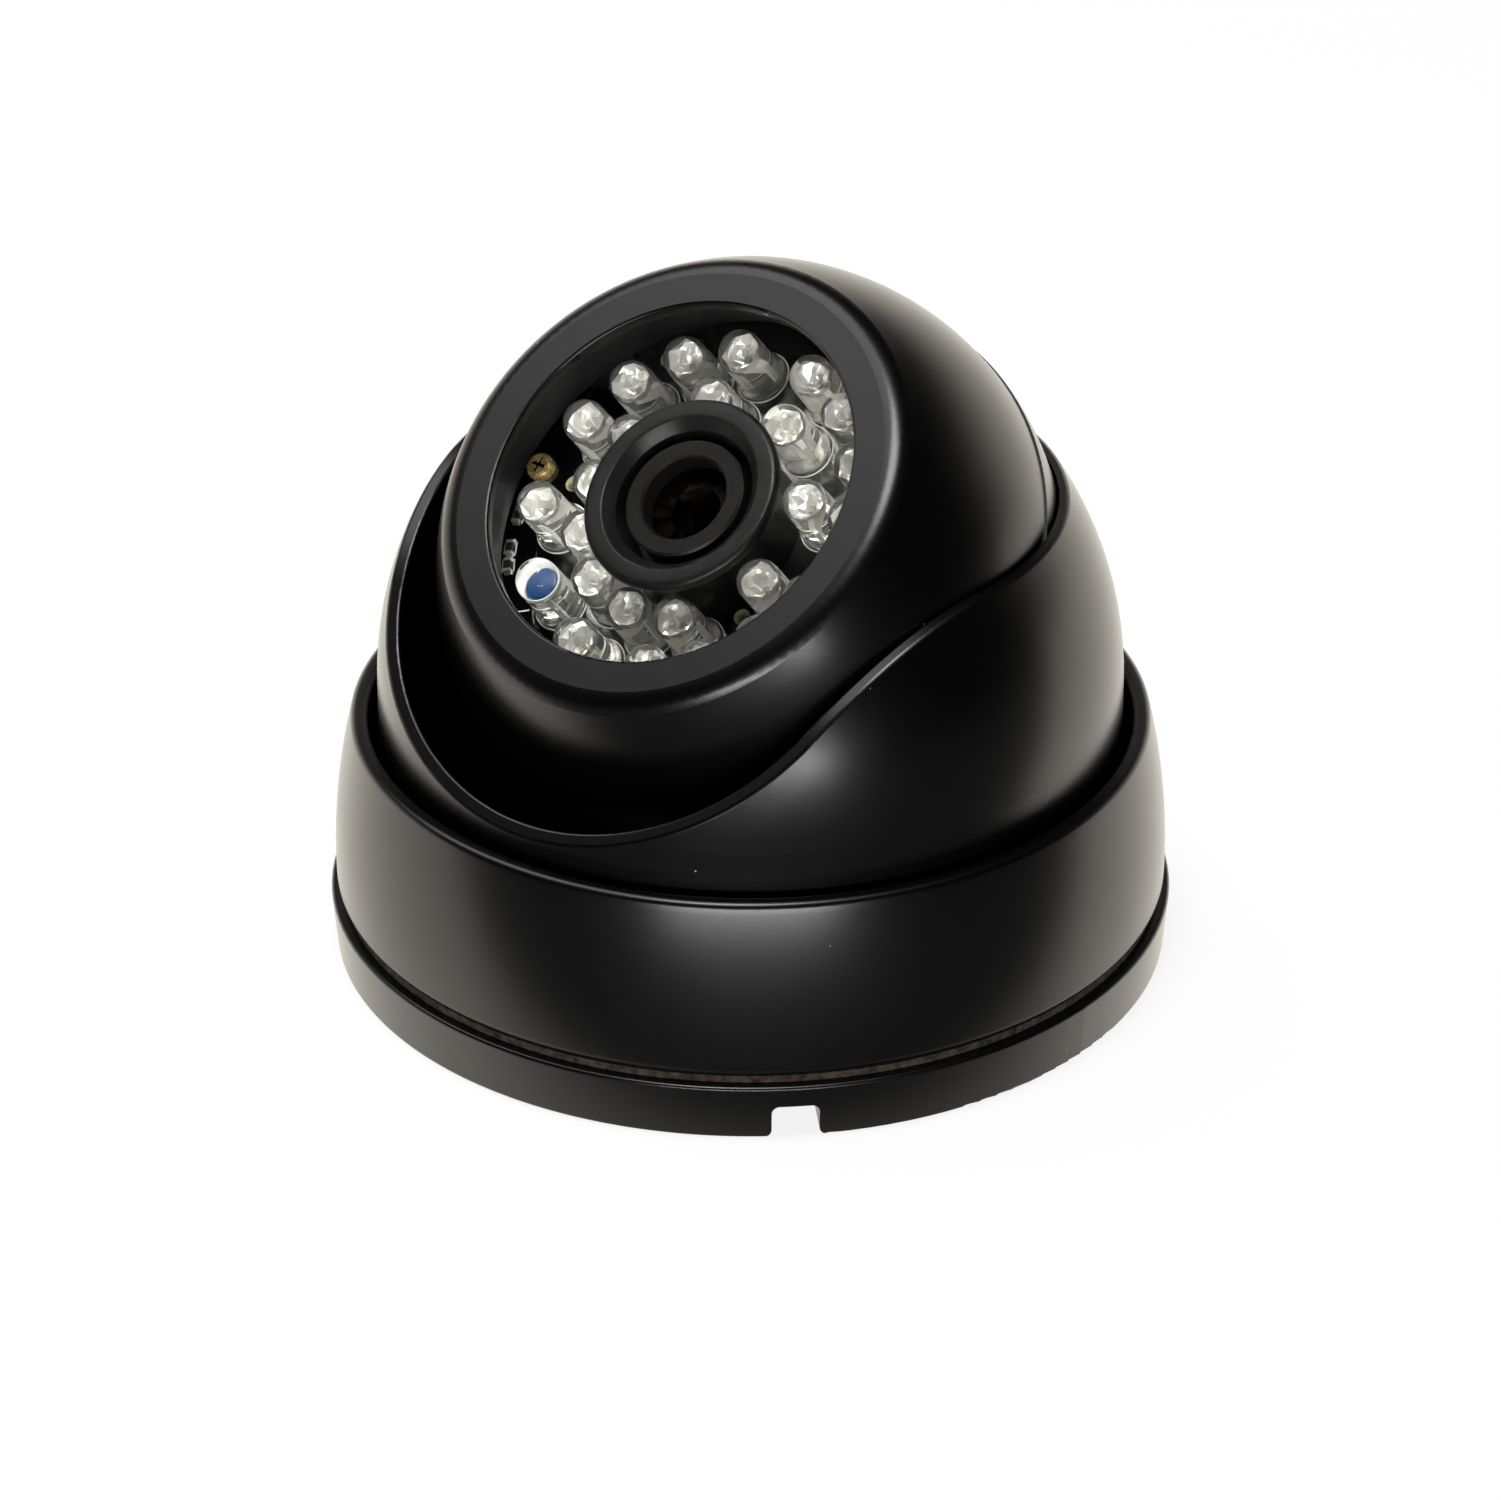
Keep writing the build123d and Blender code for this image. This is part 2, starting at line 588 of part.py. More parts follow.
def light_sensor():
    return sensor_spot() * lamp()


def lead_spots():
    """Two leads under every lamp and under the light sensor, across the radius."""
    pair = [Pos(0, side * LEAD_PITCH / 2, 0) for side in (1, -1)]
    return [spot * lead for spot in lamp_spots() + [sensor_spot()] for lead in pair]


def led_leads():
    lead = rod(LEAD_R, boardBackD - LEAD_H, boardD)
    return group(spot * lead for spot in lead_spots())


def board_disc(r, d0, d1):
    """A round board that clears the bosses of the shell screws."""
    disc = rod(r, d0, d1)
    for spot in around(shellScrewR, SHELL_SCREW_ANGLES):
        disc -= spot * rod(SHELL_BOSS_R + 6 * FIT, d0 - 1, d1 + 1)
    return disc


def led_board():
    board = board_disc(boardR, boardBackD, boardD) - rod(shadeBoreR + 0.3, boardBackD - 1, boardD + 1)
    holes = [spot * rod(LEAD_R + FIT, boardBackD - 1, boardD + 1) for spot in lead_spots()]
    for spot in around(boardScrewR, BOARD_SCREW_ANGLES):
        holes.append(spot * rod(BOARD_SCREW_R + FIT, boardBackD - 1, boardD + 1))
    for radius, angle in BOARD_HOLES:
        holes.append(around(radius, [angle])[0] * rod(BOARD_HOLE_R, boardBackD - 1, boardD + 1))
    return board - holes


def board_screws():
    screw = Pos(0, 0, boardD) * pan_screw(BOARD_SCREW_R, BOARD_HEAD_R, BOARD_HEAD_T, BOARD_T + 4)
    return group(spot * screw for spot in around(boardScrewR, BOARD_SCREW_ANGLES))


def board_standoffs():
    """Hexagon pillars from the chassis to the lamp board."""
    body = Pos(0, 0, chassisD) * extrude(RegularPolygon(STANDOFF_R, 6), boardBackD - chassisD)
    body -= rod(BOARD_SCREW_R + FIT / 2, boardBackD - 5, boardBackD + 1)
    body += rod(BOARD_SCREW_R, chassisBackD, chassisD)
    return group(spot * body for spot in around(boardScrewR, BOARD_SCREW_ANGLES))


def smd_parts():
    """Small chip resistors near the edge of the lamp board."""
    chip = Pos(0, 0, boardD) * Box(0.8, 1.6, 0.5, align=(Align.CENTER, Align.CENTER, Align.MIN))
    spots = around(boardR - 1.4, SMD_ANGLES) + around(innerLedR + ledFlangeR + 1.4, (271.0,))
    return group(spot * chip for spot in spots)


def lens_shade():
    outer = rod(shadeR, boardD, shadeD)
    outer += rod(shadeFlangeR, shadeD - SHADE_FLANGE_T, shadeD)
    rim = outer.edges().filter_by(GeomType.CIRCLE).sort_by(Axis.Z)[-1]
    outer = fillet(rim, SHADE_FLANGE_T * 0.4)
    shade = outer - rod(shadeBoreR, boardD - 1, shadeD + 1)
    return chamfer(shade.edges().filter_by(GeomType.CIRCLE).group_by(Axis.Z)[-1].sort_by(SortBy.RADIUS)[0], 0.5)


def lens_barrel():
    body = rod(lensHeadR, lensShoulderD, lensD) + rod(LENS_THREAD_R, lensEndD, lensShoulderD)
    body = chamfer(body.edges().filter_by(GeomType.CIRCLE).sort_by(Axis.Z)[-1], 0.3)
    body -= rod(frontGlassR + FIT, frontGlassD, lensD + 1)
    body -= rod(APERTURE_R, lensEndD - 1, lensD)
    return body - rod(rearGlassR + FIT, lensEndD - 1, lensEndD + REAR_GLASS_T + 0.6)


def lens_front_ring():
    ring = tube(lensBezelR, frontGlassR, frontGlassD + FRONT_GLASS_T + FIT, lensD - 0.5)
    inner = ring.edges().filter_by(GeomType.CIRCLE).group_by(Axis.Z)[-1].sort_by(SortBy.RADIUS)[0]
    return chamfer(inner, 0.6)


def lens_front_element():
    radius = (lensBezelR ** 2 + FRONT_GLASS_BULGE ** 2) / (2 * FRONT_GLASS_BULGE)
    top = frontGlassD + FRONT_GLASS_T
    cap = Pos(0, 0, top + FRONT_GLASS_BULGE - radius) * Sphere(radius)
    cap &= rod(lensBezelR - 2 * FIT, top - 0.2, lensD)
    return rod(frontGlassR, frontGlassD, top) + cap


def lens_rear_element():
    d0 = lensEndD + 0.3
    return rod(rearGlassR, d0, d0 + REAR_GLASS_T)


def lens_holder():
    barrel = rod(holderR, sensorBoardD, holderTopD)
    foot = Pos(0, 0, sensorBoardD) * Box(2 * holderFootX, 2 * holderR, HOLDER_FOOT_T,
                                         align=(Align.CENTER, Align.CENTER, Align.MIN))
    foot = fillet(foot.edges().filter_by(Axis.Z), 1.5)
    body = barrel + foot - rod(LENS_THREAD_R + FIT / 2, filterD + FILTER_T + 0.8, holderTopD + 1)
    body -= rod(SENSOR_CHIP * 0.45, filterD, holderTopD)
    body -= Pos(0, 0, sensorBoardD) * Box(SENSOR_CHIP + 1, SENSOR_CHIP + 1, 2 * (filterD - sensorBoardD))
    body -= Pos(0, 0, filterD) * Box(SENSOR_CHIP, SENSOR_CHIP, 2 * FILTER_T)
    hole = rod(HOLDER_SCREW_R + FIT, sensorBoardD - 1, sensorBoardD + HOLDER_FOOT_T + 1)
    for side in (1, -1):
        body -= Pos(side * holderScrewX, 0, 0) * hole
    return body


def lens_holder_screws():
    screw = Pos(0, 0, sensorBoardD + HOLDER_FOOT_T) * pan_screw(
        HOLDER_SCREW_R, holderHeadR, 0.8, HOLDER_FOOT_T + SENSOR_BOARD_T)
    return group(Pos(side * holderScrewX, 0, 0) * screw for side in (1, -1))


def lens_lock_ring():
    outR = holderR - FIT
    ring = tube(LENS_THREAD_R + FIT, outR, holderTopD + FIT, holderTopD + LOCK_RING_T)
    for spot in around(outR, evenly(4)):
        ring -= spot * Box(1.2, 1.4, 4 * holderTopD)
    return ring


def ir_cut_filter():
    return Pos(0, 0, filterD) * Box(SENSOR_CHIP - 2 * FIT, SENSOR_CHIP - 2 * FIT, FILTER_T - FIT,
                                    align=(Align.CENTER, Align.CENTER, Align.MIN))


def image_sensor():
    chip = Pos(0, 0, sensorBoardD) * Box(SENSOR_CHIP, SENSOR_CHIP, SENSOR_CHIP_T,
                                         align=(Align.CENTER, Align.CENTER, Align.MIN))
    well = Pos(0, 0, sensorBoardD + SENSOR_CHIP_T) * Box(SENSOR_CHIP * 0.6, SENSOR_CHIP * 0.45, 0.6)
    return chip - well


def corner_spots(size):
    return [Pos(x * size / 2, y * size / 2, 0) for x in (1, -1) for y in (1, -1)]


def sensor_board():
    back = sensorBoardD - SENSOR_BOARD_T
    board = Pos(0, 0, back) * Box(SENSOR_BOARD, SENSOR_BOARD, SENSOR_BOARD_T,
                                  align=(Align.CENTER, Align.CENTER, Align.MIN))
    board = fillet(board.edges().filter_by(Axis.Z), 2.0)
    holes = [spot * rod(SMALL_SCREW_R + FIT, back - 1, sensorBoardD + 1) for spot in corner_spots(sensorHoles)]
    small = rod(HOLDER_SCREW_R + FIT, back - 1, sensorBoardD + 1)
    holes += [Pos(side * holderScrewX, 0, 0) * small for side in (1, -1)]
    return board - holes


def sensor_standoffs():
    post = tube(SMALL_SCREW_R + FIT / 2, SMALL_HEAD_R, chassisD, sensorBoardD - SENSOR_BOARD_T)
    return group(spot * post for spot in corner_spots(sensorHoles))


def sensor_board_screws():
    screw = Pos(0, 0, sensorBoardD) * pan_screw(SMALL_SCREW_R, SMALL_HEAD_R, SMALL_HEAD_T,
                                                SENSOR_BOARD_T + CHASSIS_GAP - 0.4)
    return group(spot * screw for spot in corner_spots(sensorHoles))


def board_chips():
    """The processor and its neighbours on the back of the sensor board."""
    back = sensorBoardD - SENSOR_BOARD_T
    sizes = ((10.0, 10.0, 1.2, 0.0, 3.0), (5.0, 4.0, 1.0, 8.5, -4.5), (4.0, 6.0, 1.0, -8.5, -4.0))
    return group(Pos(x, y, back) * Box(a, b, h, align=(Align.CENTER, Align.CENTER, Align.MAX))
                 for a, b, h, x, y in sizes)


def board_connectors():
    """A socket under the lamp board and one on the sensor board, facing each other across the lead."""
    size = Box(CONNECTOR_L, CONNECTOR_W, CONNECTOR_H, align=(Align.CENTER, Align.CENTER, Align.MIN))
    upper = Pos(0, connectorY, boardBackD - CONNECTOR_H) * size
    lower = Pos(0, connectorY, sensorBoardD) * size
    return group([upper, lower])


def board_lead():
    """Four wires in a shallow bow between the two sockets."""
    start = sensorBoardD + CONNECTOR_H
    end = boardBackD - CONNECTOR_H
    wires = []
    for i in range(4):
        x = (i - 1.5) * WIRE_PITCH
        middle = (x, connectorY + WIRE_BOW, (start + end) / 2)
        path = Spline((x, connectorY, start), middle, (x, connectorY, end), tangents=((0, 0, 1), (0, 0, 1)))
        wires.append(sweep(Plane(path @ 0, z_dir=path % 0) * Circle(WIRE_R), path))
    return group(wires)


def chassis_plate():
    plate = board_disc(boardScrewR + STANDOFF_R + 0.6, chassisBackD, chassisD)
    holes = [spot * rod(BOARD_SCREW_R + FIT, chassisBackD - 1, chassisD + 1)
             for spot in around(boardScrewR, BOARD_SCREW_ANGLES)]
    holes += [spot * rod(SMALL_SCREW_R + FIT, chassisBackD - 1, chassisD + 1)
              for spot in around(CHASSIS_POST_PCD / 2, evenly(3))]
    holes.append(rod(GLAND_R, chassisBackD - 1, chassisD + 1))
    return plate - holes


def chassis_screws():
    screw = Pos(0, 0, chassisD) * pan_screw(SMALL_SCREW_R - FIT / 2, SMALL_HEAD_R, SMALL_HEAD_T, CHASSIS_T + 5)
    return group(spot * screw for spot in around(CHASSIS_POST_PCD / 2, evenly(3)))


FIXED_NODES = (base_plate, base_seal, ring_cover, cover_lock_screw, lower_glide_ring, upper_friction_ring,
               cable_grommet, dome_shroud, yoke_bracket, yoke_screws, tilt_washers, tilt_springs)
PIVOT_NODES = (pivot_screws,)
HEAD_NODES = (front_shell, rear_shell, shell_seal, shell_screws, cable_gland, window_glass, window_seal,
              window_retainer, ir_leds, light_sensor, led_leads, led_board, board_screws, board_standoffs,
              smd_parts, lens_shade, lens_barrel, lens_front_ring, lens_front_element, lens_rear_element,
              lens_lock_ring, lens_holder, lens_holder_screws, ir_cut_filter, image_sensor, sensor_board,
              sensor_standoffs, sensor_board_screws, board_chips, board_connectors, board_lead, chassis_plate,
              chassis_screws)

os.makedirs("parts", exist_ok=True)
for make in FIXED_NODES + PIVOT_NODES:
    export_step(make(), "parts/" + make.__name__ + ".step")
for make in HEAD_NODES:
    export_step(HEAD * make(), "parts/" + make.__name__ + ".step")
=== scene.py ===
import json
import math

import bmesh
import bpy
from mathutils import Matrix, Vector, noise


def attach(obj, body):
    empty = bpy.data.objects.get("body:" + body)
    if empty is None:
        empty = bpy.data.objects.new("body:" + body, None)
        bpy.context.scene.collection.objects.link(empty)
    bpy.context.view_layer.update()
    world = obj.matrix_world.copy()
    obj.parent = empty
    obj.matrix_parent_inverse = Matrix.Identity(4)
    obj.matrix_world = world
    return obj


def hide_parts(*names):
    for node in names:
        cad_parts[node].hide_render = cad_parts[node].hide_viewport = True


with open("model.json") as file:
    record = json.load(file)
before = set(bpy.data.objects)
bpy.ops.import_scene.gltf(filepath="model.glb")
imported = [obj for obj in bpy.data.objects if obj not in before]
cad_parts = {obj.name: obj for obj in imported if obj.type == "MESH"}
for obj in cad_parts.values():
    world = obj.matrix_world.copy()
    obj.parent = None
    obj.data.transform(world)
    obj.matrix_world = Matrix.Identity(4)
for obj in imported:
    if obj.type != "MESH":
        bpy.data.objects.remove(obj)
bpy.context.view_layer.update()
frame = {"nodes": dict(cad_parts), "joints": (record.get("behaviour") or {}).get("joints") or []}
nodes = frame["nodes"]
scene = bpy.context.scene
mm = 0.001
print("frame loaded with", len(nodes), "nodes")


# an sRGB hex colour as linear red, green, blue and alpha
def linear(hexColour):
    channels = [int(hexColour[i:i + 2], 16) / 255 for i in (1, 3, 5)]
    return tuple(c / 12.92 if c <= 0.04045 else ((c + 0.055) / 1.055) ** 2.4 for c in channels) + (1.0,)


# settings name an input by its name or number, or else one of the node's own options
def addNode(tree, kind, settings=None, links=None):
    node = tree.nodes.new("ShaderNode" + kind)
    for name, value in (settings or {}).items():
        if isinstance(name, int) or name in node.inputs:
            node.inputs[name].default_value = value
        else:
            setattr(node, name, value)
    for name, socket in (links or {}).items():
        tree.links.new(socket, node.inputs[name])
    return node


def startMaterial(name):
    material = bpy.data.materials.new(name)
    material.use_nodes = True
    material.node_tree.nodes.clear()
    return material, material.node_tree, addNode(material.node_tree, "OutputMaterial")


# how many times a pattern of this size in mm repeats in a metre
def perMetre(sizeMm):
    return 1 / (sizeMm * mm)


# Polyester powder coat, sprayed and baked on a die casting: to the eye near black and satin, with soft broad
# highlights, a faint orange peel and a few specks of dust
coat = {"ior": 1.45, "colour": "#030304", "dust": "#a8a49c", "roughLow": 0.25, "roughHigh": 0.31,
        "cloudMm": 14, "cloudDetail": 3.0, "peelMm": 0.7, "peelDetail": 2.0, "peelDepthMm": 0.006,
        "peelStrength": 0.5, "dustMm": 5.0, "dustShare": 0.02}


def powderCoat(name, look):
    material, tree, output = startMaterial(name)
    place = addNode(tree, "TexCoord").outputs["Object"]
    cloud = addNode(tree, "TexNoise", {"Scale": perMetre(look["cloudMm"]), "Detail": look["cloudDetail"]},
                    {"Vector": place})
    rough = addNode(tree, "MapRange", {"To Min": look["roughLow"], "To Max": look["roughHigh"]},
                    {"Value": cloud.outputs["Fac"]})
    peel = addNode(tree, "TexNoise", {"Scale": perMetre(look["peelMm"]), "Detail": look["peelDetail"]},
                   {"Vector": place})
    bump = addNode(tree, "Bump", {"Strength": look["peelStrength"], "Distance": look["peelDepthMm"] * mm},
                   {"Height": peel.outputs["Fac"]})
    cells = addNode(tree, "TexVoronoi", {"Scale": perMetre(look["dustMm"])}, {"Vector": place})
    speck = addNode(tree, "Math", {"operation": "LESS_THAN", 1: look["dustShare"]},
                    {0: cells.outputs["Distance"]})
    colour = addNode(tree, "Mix", {"data_type": "RGBA", 6: linear(look["colour"]), 7: linear(look["dust"])},
                     {0: speck.outputs[0]})
    shader = addNode(tree, "BsdfPrincipled", {"IOR": look["ior"]},
                     {"Base Color": colour.outputs[2], "Roughness": rough.outputs[0],
                      "Normal": bump.outputs[0]})
    tree.links.new(shader.outputs[0], output.inputs["Surface"])
    return material


# Moulded, cast, sprayed or printed: an even grain in the surface and a slight cloudiness in the colour. Real
# grain is about 0.05 mm and wouldn't show, so every grain is drawn coarser, at 0.2 to 0.9 mm
grainy = {"detail": 4.0, "strength": 0.6, "roughSpread": 0.06, "cloudMm": 6.0, "cloudDetail": 3.0,
          "cloudLow": 0.3, "cloudHigh": 0.7}


def moulded(name, look):
    material, tree, output = startMaterial(name)
    place = addNode(tree, "TexCoord").outputs["Object"]
    grain = addNode(tree, "TexNoise", {"Scale": perMetre(look["grainMm"]), "Detail": grainy["detail"]},
                    {"Vector": place})
    bump = addNode(tree, "Bump", {"Strength": grainy["strength"], "Distance": look["depthMm"] * mm},
                   {"Height": grain.outputs["Fac"]})
    cloudMm = look.get("cloudMm", grainy["cloudMm"])
    cloud = addNode(tree, "TexNoise", {"Scale": perMetre(cloudMm), "Detail": grainy["cloudDetail"]},
                    {"Vector": place})
    spread = addNode(tree, "MapRange", {"From Min": grainy["cloudLow"], "From Max": grainy["cloudHigh"]},
                     {"Value": cloud.outputs["Fac"]})
    colour = addNode(tree, "Mix", {"data_type": "RGBA", 6: linear(look["dark"]), 7: linear(look["light"])},
                     {0: spread.outputs[0]})
    rough = addNode(tree, "MapRange", {"To Min": look["rough"] - grainy["roughSpread"],
                                       "To Max": look["rough"] + grainy["roughSpread"]},
                    {"Value": grain.outputs["Fac"]})
    shader = addNode(tree, "BsdfPrincipled", {"IOR": look["ior"]},
                     {"Base Color": colour.outputs[2], "Roughness": rough.outputs[0],
                      "Normal": bump.outputs[0]})
    tree.links.new(shader.outputs[0], output.inputs["Surface"])
    return material


# Turned, stamped, plated or blackened metal: short tool marks that break up the shine. Real marks are about
# 0.05 mm and wouldn't show, so they are drawn coarser, at 0.2 to 0.5 mm
marked = {"detail": 3.0, "strength": 0.5, "roughSpread": 0.08, "stretch": (1, 1, 1)}


def metal(name, look):
    material, tree, output = startMaterial(name)
    place = addNode(tree, "TexCoord").outputs["Object"]
    stretch = addNode(tree, "Mapping", {"Scale": look.get("stretch", marked["stretch"])}, {"Vector": place})
    marks = addNode(tree, "TexNoise", {"Scale": perMetre(look["markMm"]), "Detail": marked["detail"]},
                    {"Vector": stretch.outputs[0]})
    rough = addNode(tree, "MapRange", {"To Min": look["rough"] - marked["roughSpread"],
                                       "To Max": look["rough"] + marked["roughSpread"]},
                    {"Value": marks.outputs["Fac"]})
    colour = addNode(tree, "Mix", {"data_type": "RGBA", 6: linear(look["dark"]), 7: linear(look["light"])},
                     {0: marks.outputs["Fac"]})
    bump = addNode(tree, "Bump", {"Strength": marked["strength"], "Distance": look["depthMm"] * mm},
                   {"Height": marks.outputs["Fac"]})
    shader = addNode(tree, "BsdfPrincipled", {"Metallic": look["metallic"]},
                     {"Base Color": colour.outputs[2], "Roughness": rough.outputs[0],
                      "Normal": bump.outputs[0]})
    tree.links.new(shader.outputs[0], output.inputs["Surface"])
    return material


# Glass and clear cast epoxy: the eye goes through to what is behind, and so does the light of the soft boxes;
# faint patches of haze soften the shine
hazy = {"detail": 3.0, "clearBelow": 0.45}


def clear(name, look):
    material, tree, output = startMaterial(name)
    place = addNode(tree, "TexCoord").outputs["Object"]
    haze = addNode(tree, "TexNoise", {"Scale": perMetre(look["hazeMm"]), "Detail": hazy["detail"]},
                   {"Vector": place})
    rough = addNode(tree, "MapRange", {"From Min": hazy["clearBelow"], "To Min": 0.0, "To Max": look["haze"]},
                    {"Value": haze.outputs["Fac"]})
    optics = {"Base Color": linear(look["colour"]), "IOR": look["ior"],
              "Transmission Weight": 1 - look["milk"], "Specular Tint": linear(look["tint"])}
    shader = addNode(tree, "BsdfPrincipled", optics, {"Roughness": rough.outputs[0]})
    through = addNode(tree, "BsdfTransparent", {"Color": linear(look["colour"])})
    ray = addNode(tree, "LightPath")
    mix = addNode(tree, "MixShader", {}, {0: ray.outputs["Is Shadow Ray"], 1: shader.outputs[0],
                                          2: through.outputs[0]})
    tree.links.new(mix.outputs[0], output.inputs["Surface"])
    return material


plastics = {
    # nylon in its natural colour, moulded: pale cream and dull
    "naturalNylon": {"dark": "#cfc8b8", "light": "#ded8ca", "rough": 0.5, "ior": 1.53, "grainMm": 0.5,
                     "depthMm": 0.004},
    # black rubber, moulded: soft black with hardly a highlight
    "mouldedRubber": {"dark": "#0d0d0d", "light": "#171716", "rough": 0.75, "ior": 1.5, "grainMm": 0.3,
                      "depthMm": 0.01},
    # open-cell foam, cut from sheet: no shine, brown walls and black pores, whose black is painted shade and
    # which are drawn coarser than life
    "openCellFoam": {"dark": "#191511", "light": "#4c443a", "rough": 0.94, "ior": 1.45, "grainMm": 0.5,
                     "depthMm": 0.2, "cloudMm": 0.9},
    # glass-filled nylon, moulded in a blasted tool: black and grainy; the grain scatters most of the shine,
    # so the IOR is low
    "mouldedGlassFilledNylon": {"dark": "#060707", "light": "#0c0d0e", "rough": 0.34, "ior": 1.3,
                                "grainMm": 0.25, "depthMm": 0.012},
    # epoxy chip package, moulded: charcoal and flat
    "mouldedChipEpoxy": {"dark": "#101010", "light": "#191919", "rough": 0.6, "ior": 1.55, "grainMm": 0.2,
                         "depthMm": 0.006},
    # connector nylon, moulded: ivory with a soft sheen
    "mouldedConnectorNylon": {"dark": "#d8d2bf", "light": "#e6e1d2", "rough": 0.5, "ior": 1.53,
                              "grainMm": 0.4, "depthMm": 0.004},
    # vinyl wire sleeve, extruded: smooth dark red with a waxy gleam
    "extrudedWireSleeve": {"dark": "#8a1a14", "light": "#a3241b", "rough": 0.4, "ior": 1.52, "grainMm": 0.6,
                           "depthMm": 0.003},
    # chip ceramic, fired: dark grey, dense and even
    "chipCeramic": {"dark": "#2b2b2d", "light": "#36363a", "rough": 0.45, "ior": 1.7, "grainMm": 0.2,
                    "depthMm": 0.003},
    # black solder mask, coated and cured: glossy, so the board mirrors the lamps that stand on it; the high
    # IOR brings out that shine behind the window
    "blackSolderMask": {"dark": "#060707", "light": "#0a0b0b", "rough": 0.12, "ior": 2.5, "grainMm": 0.9,
                        "depthMm": 0.004},
    # green solder mask, coated and cured: deep green and glossy
    "greenSolderMask": {"dark": "#0b3a22", "light": "#12492c", "rough": 0.25, "ior": 1.55, "grainMm": 0.9,
                        "depthMm": 0.004},
    # fibreglass laminate, drilled: bare, yellowish and matt
    "bareFibreglass": {"dark": "#a3a27e", "light": "#c7c6a8", "rough": 0.6, "ior": 1.55, "grainMm": 0.25,
                       "depthMm": 0.006},
    # white ceramic, fired: clean white with a soft sheen
    "whiteCupCeramic": {"dark": "#e4e6e6", "light": "#f3f4f4", "rough": 0.4, "ior": 1.6, "grainMm": 0.3,
                        "depthMm": 0.003},
    # blue filter resin, cast over the sensor: deep blue and smooth
    "blueSensorCell": {"dark": "#032a54", "light": "#0b4684", "rough": 0.25, "ior": 1.6, "grainMm": 0.35,
                       "depthMm": 0.004},
    # optical black lacquer, sprayed: dead black that swallows the light, hence the low IOR
    "sprayedLensLacquer": {"dark": "#060605", "light": "#0a0908", "rough": 0.6, "ior": 1.22, "grainMm": 0.25,
                           "depthMm": 0.003},
    # epoxy ink, screen printed: off-white, chalky lines
    "whiteBoardInk": {"dark": "#cfd0cc", "light": "#e4e4df", "rough": 0.6, "ior": 1.5, "grainMm": 0.2,
                      "depthMm": 0.003},
}
# the bright metals behind the window are only partly metallic, which keeps them bright in the dark there
metals = {
    # steel, black oxide: charcoal with a dull glint
    "blackOxideSteel": {"dark": "#141416", "light": "#1f1f21", "rough": 0.42, "metallic": 1.0, "markMm": 0.4,
                        "depthMm": 0.003},
    # steel, zinc plated: light cool grey, softly bright
    "zincPlatedSteel": {"dark": "#9a9a98", "light": "#b9b8b4", "rough": 0.34, "metallic": 1.0, "markMm": 0.4,
                        "depthMm": 0.003},
    # brass, turned: warm yellow with small bright glints
    "turnedBrass": {"dark": "#d6b068", "light": "#f8e0a4", "rough": 0.26, "metallic": 0.6, "markMm": 0.3,
                    "depthMm": 0.003},
    # copper, dipped in tin: pale silver with a soft shine
    "tinnedCopper": {"dark": "#c6c6c2", "light": "#e6e6e2", "rough": 0.34, "metallic": 0.65, "markMm": 0.3,
                     "depthMm": 0.003},
    # lamp cup, stamped and silver plated: white sparkle broken up into facets
    "stampedSilverCup": {"dark": "#dddbd4", "light": "#ffffff", "rough": 0.17, "metallic": 0.68,
                         "markMm": 0.5, "depthMm": 0.02},
    # lamp frame, punched from strip and silver plated: pale and even
    "silverPlatedFrame": {"dark": "#e6e5de", "light": "#fdfdf8", "rough": 0.24, "metallic": 0.4,
                          "markMm": 0.3, "depthMm": 0.003},
    # aluminium sheet, rolled: grey with lines along the rolling
    "millAluminium": {"dark": "#9fa1a3", "light": "#b7b8ba", "rough": 0.4, "metallic": 1.0, "markMm": 0.5,
                      "stretch": (1, 12, 1), "depthMm": 0.003},
    # aluminium, turned and anodised black: near black with a faint soft gleam
    "anodisedAluminium": {"dark": "#060606", "light": "#0b0b0b", "rough": 0.45, "metallic": 0.2,
                          "markMm": 0.4, "depthMm": 0.003},
    # silicon, sawn and polished: smooth grey with a yellowish cast
    "siliconChip": {"dark": "#8d8a80", "light": "#b0ab9c", "rough": 0.25, "metallic": 0.6, "markMm": 0.2,
                    "depthMm": 0.003},
}
glasses = {
    # float glass, coated against reflections: hardly to be seen, so the IOR is far below bare glass's 1.52
    "coatedFloatGlass": {"colour": "#fafaf8", "tint": "#0b0c0d", "ior": 1.1, "milk": 0.0, "haze": 0.02,
                         "hazeMm": 9},
    # epoxy, cast in a mould: clear as water with bright outlines and a trace of milk
    "castClearEpoxy": {"colour": "#fdfdfb", "tint": "#ffffff", "ior": 1.53, "milk": 0.04, "haze": 0.03,
                       "hazeMm": 3},
    # lens glass, ground and coated against reflections: little shine, and a dark brownish tint that is
    # painted shade, darkening the lens's inside seen through it
    "coatedLensGlass": {"colour": "#6a5c50", "tint": "#040302", "ior": 1.14, "milk": 0.0, "haze": 0.01,
                        "hazeMm": 5},
    # lens glass, ground and coated amber: deep brown with an orange glint
    "amberCoatedGlass": {"colour": "#4a3422", "tint": "#ff8a3a", "ior": 1.75, "milk": 0.0, "haze": 0.01,
                         "hazeMm": 5},
    # filter glass, polished and coated: pale cyan with a red glint
    "cyanFilterGlass": {"colour": "#bfe6ea", "tint": "#ff6a6a", "ior": 1.52, "milk": 0.0, "haze": 0.01,
                        "hazeMm": 5},
}
finish = {"satinPowderCoat": powderCoat("satinPowderCoat", coat)}
for name, look in plastics.items():
    finish[name] = moulded(name, look)
for name, look in metals.items():
    finish[name] = metal(name, look)
for name, look in glasses.items():
    finish[name] = clear(name, look)

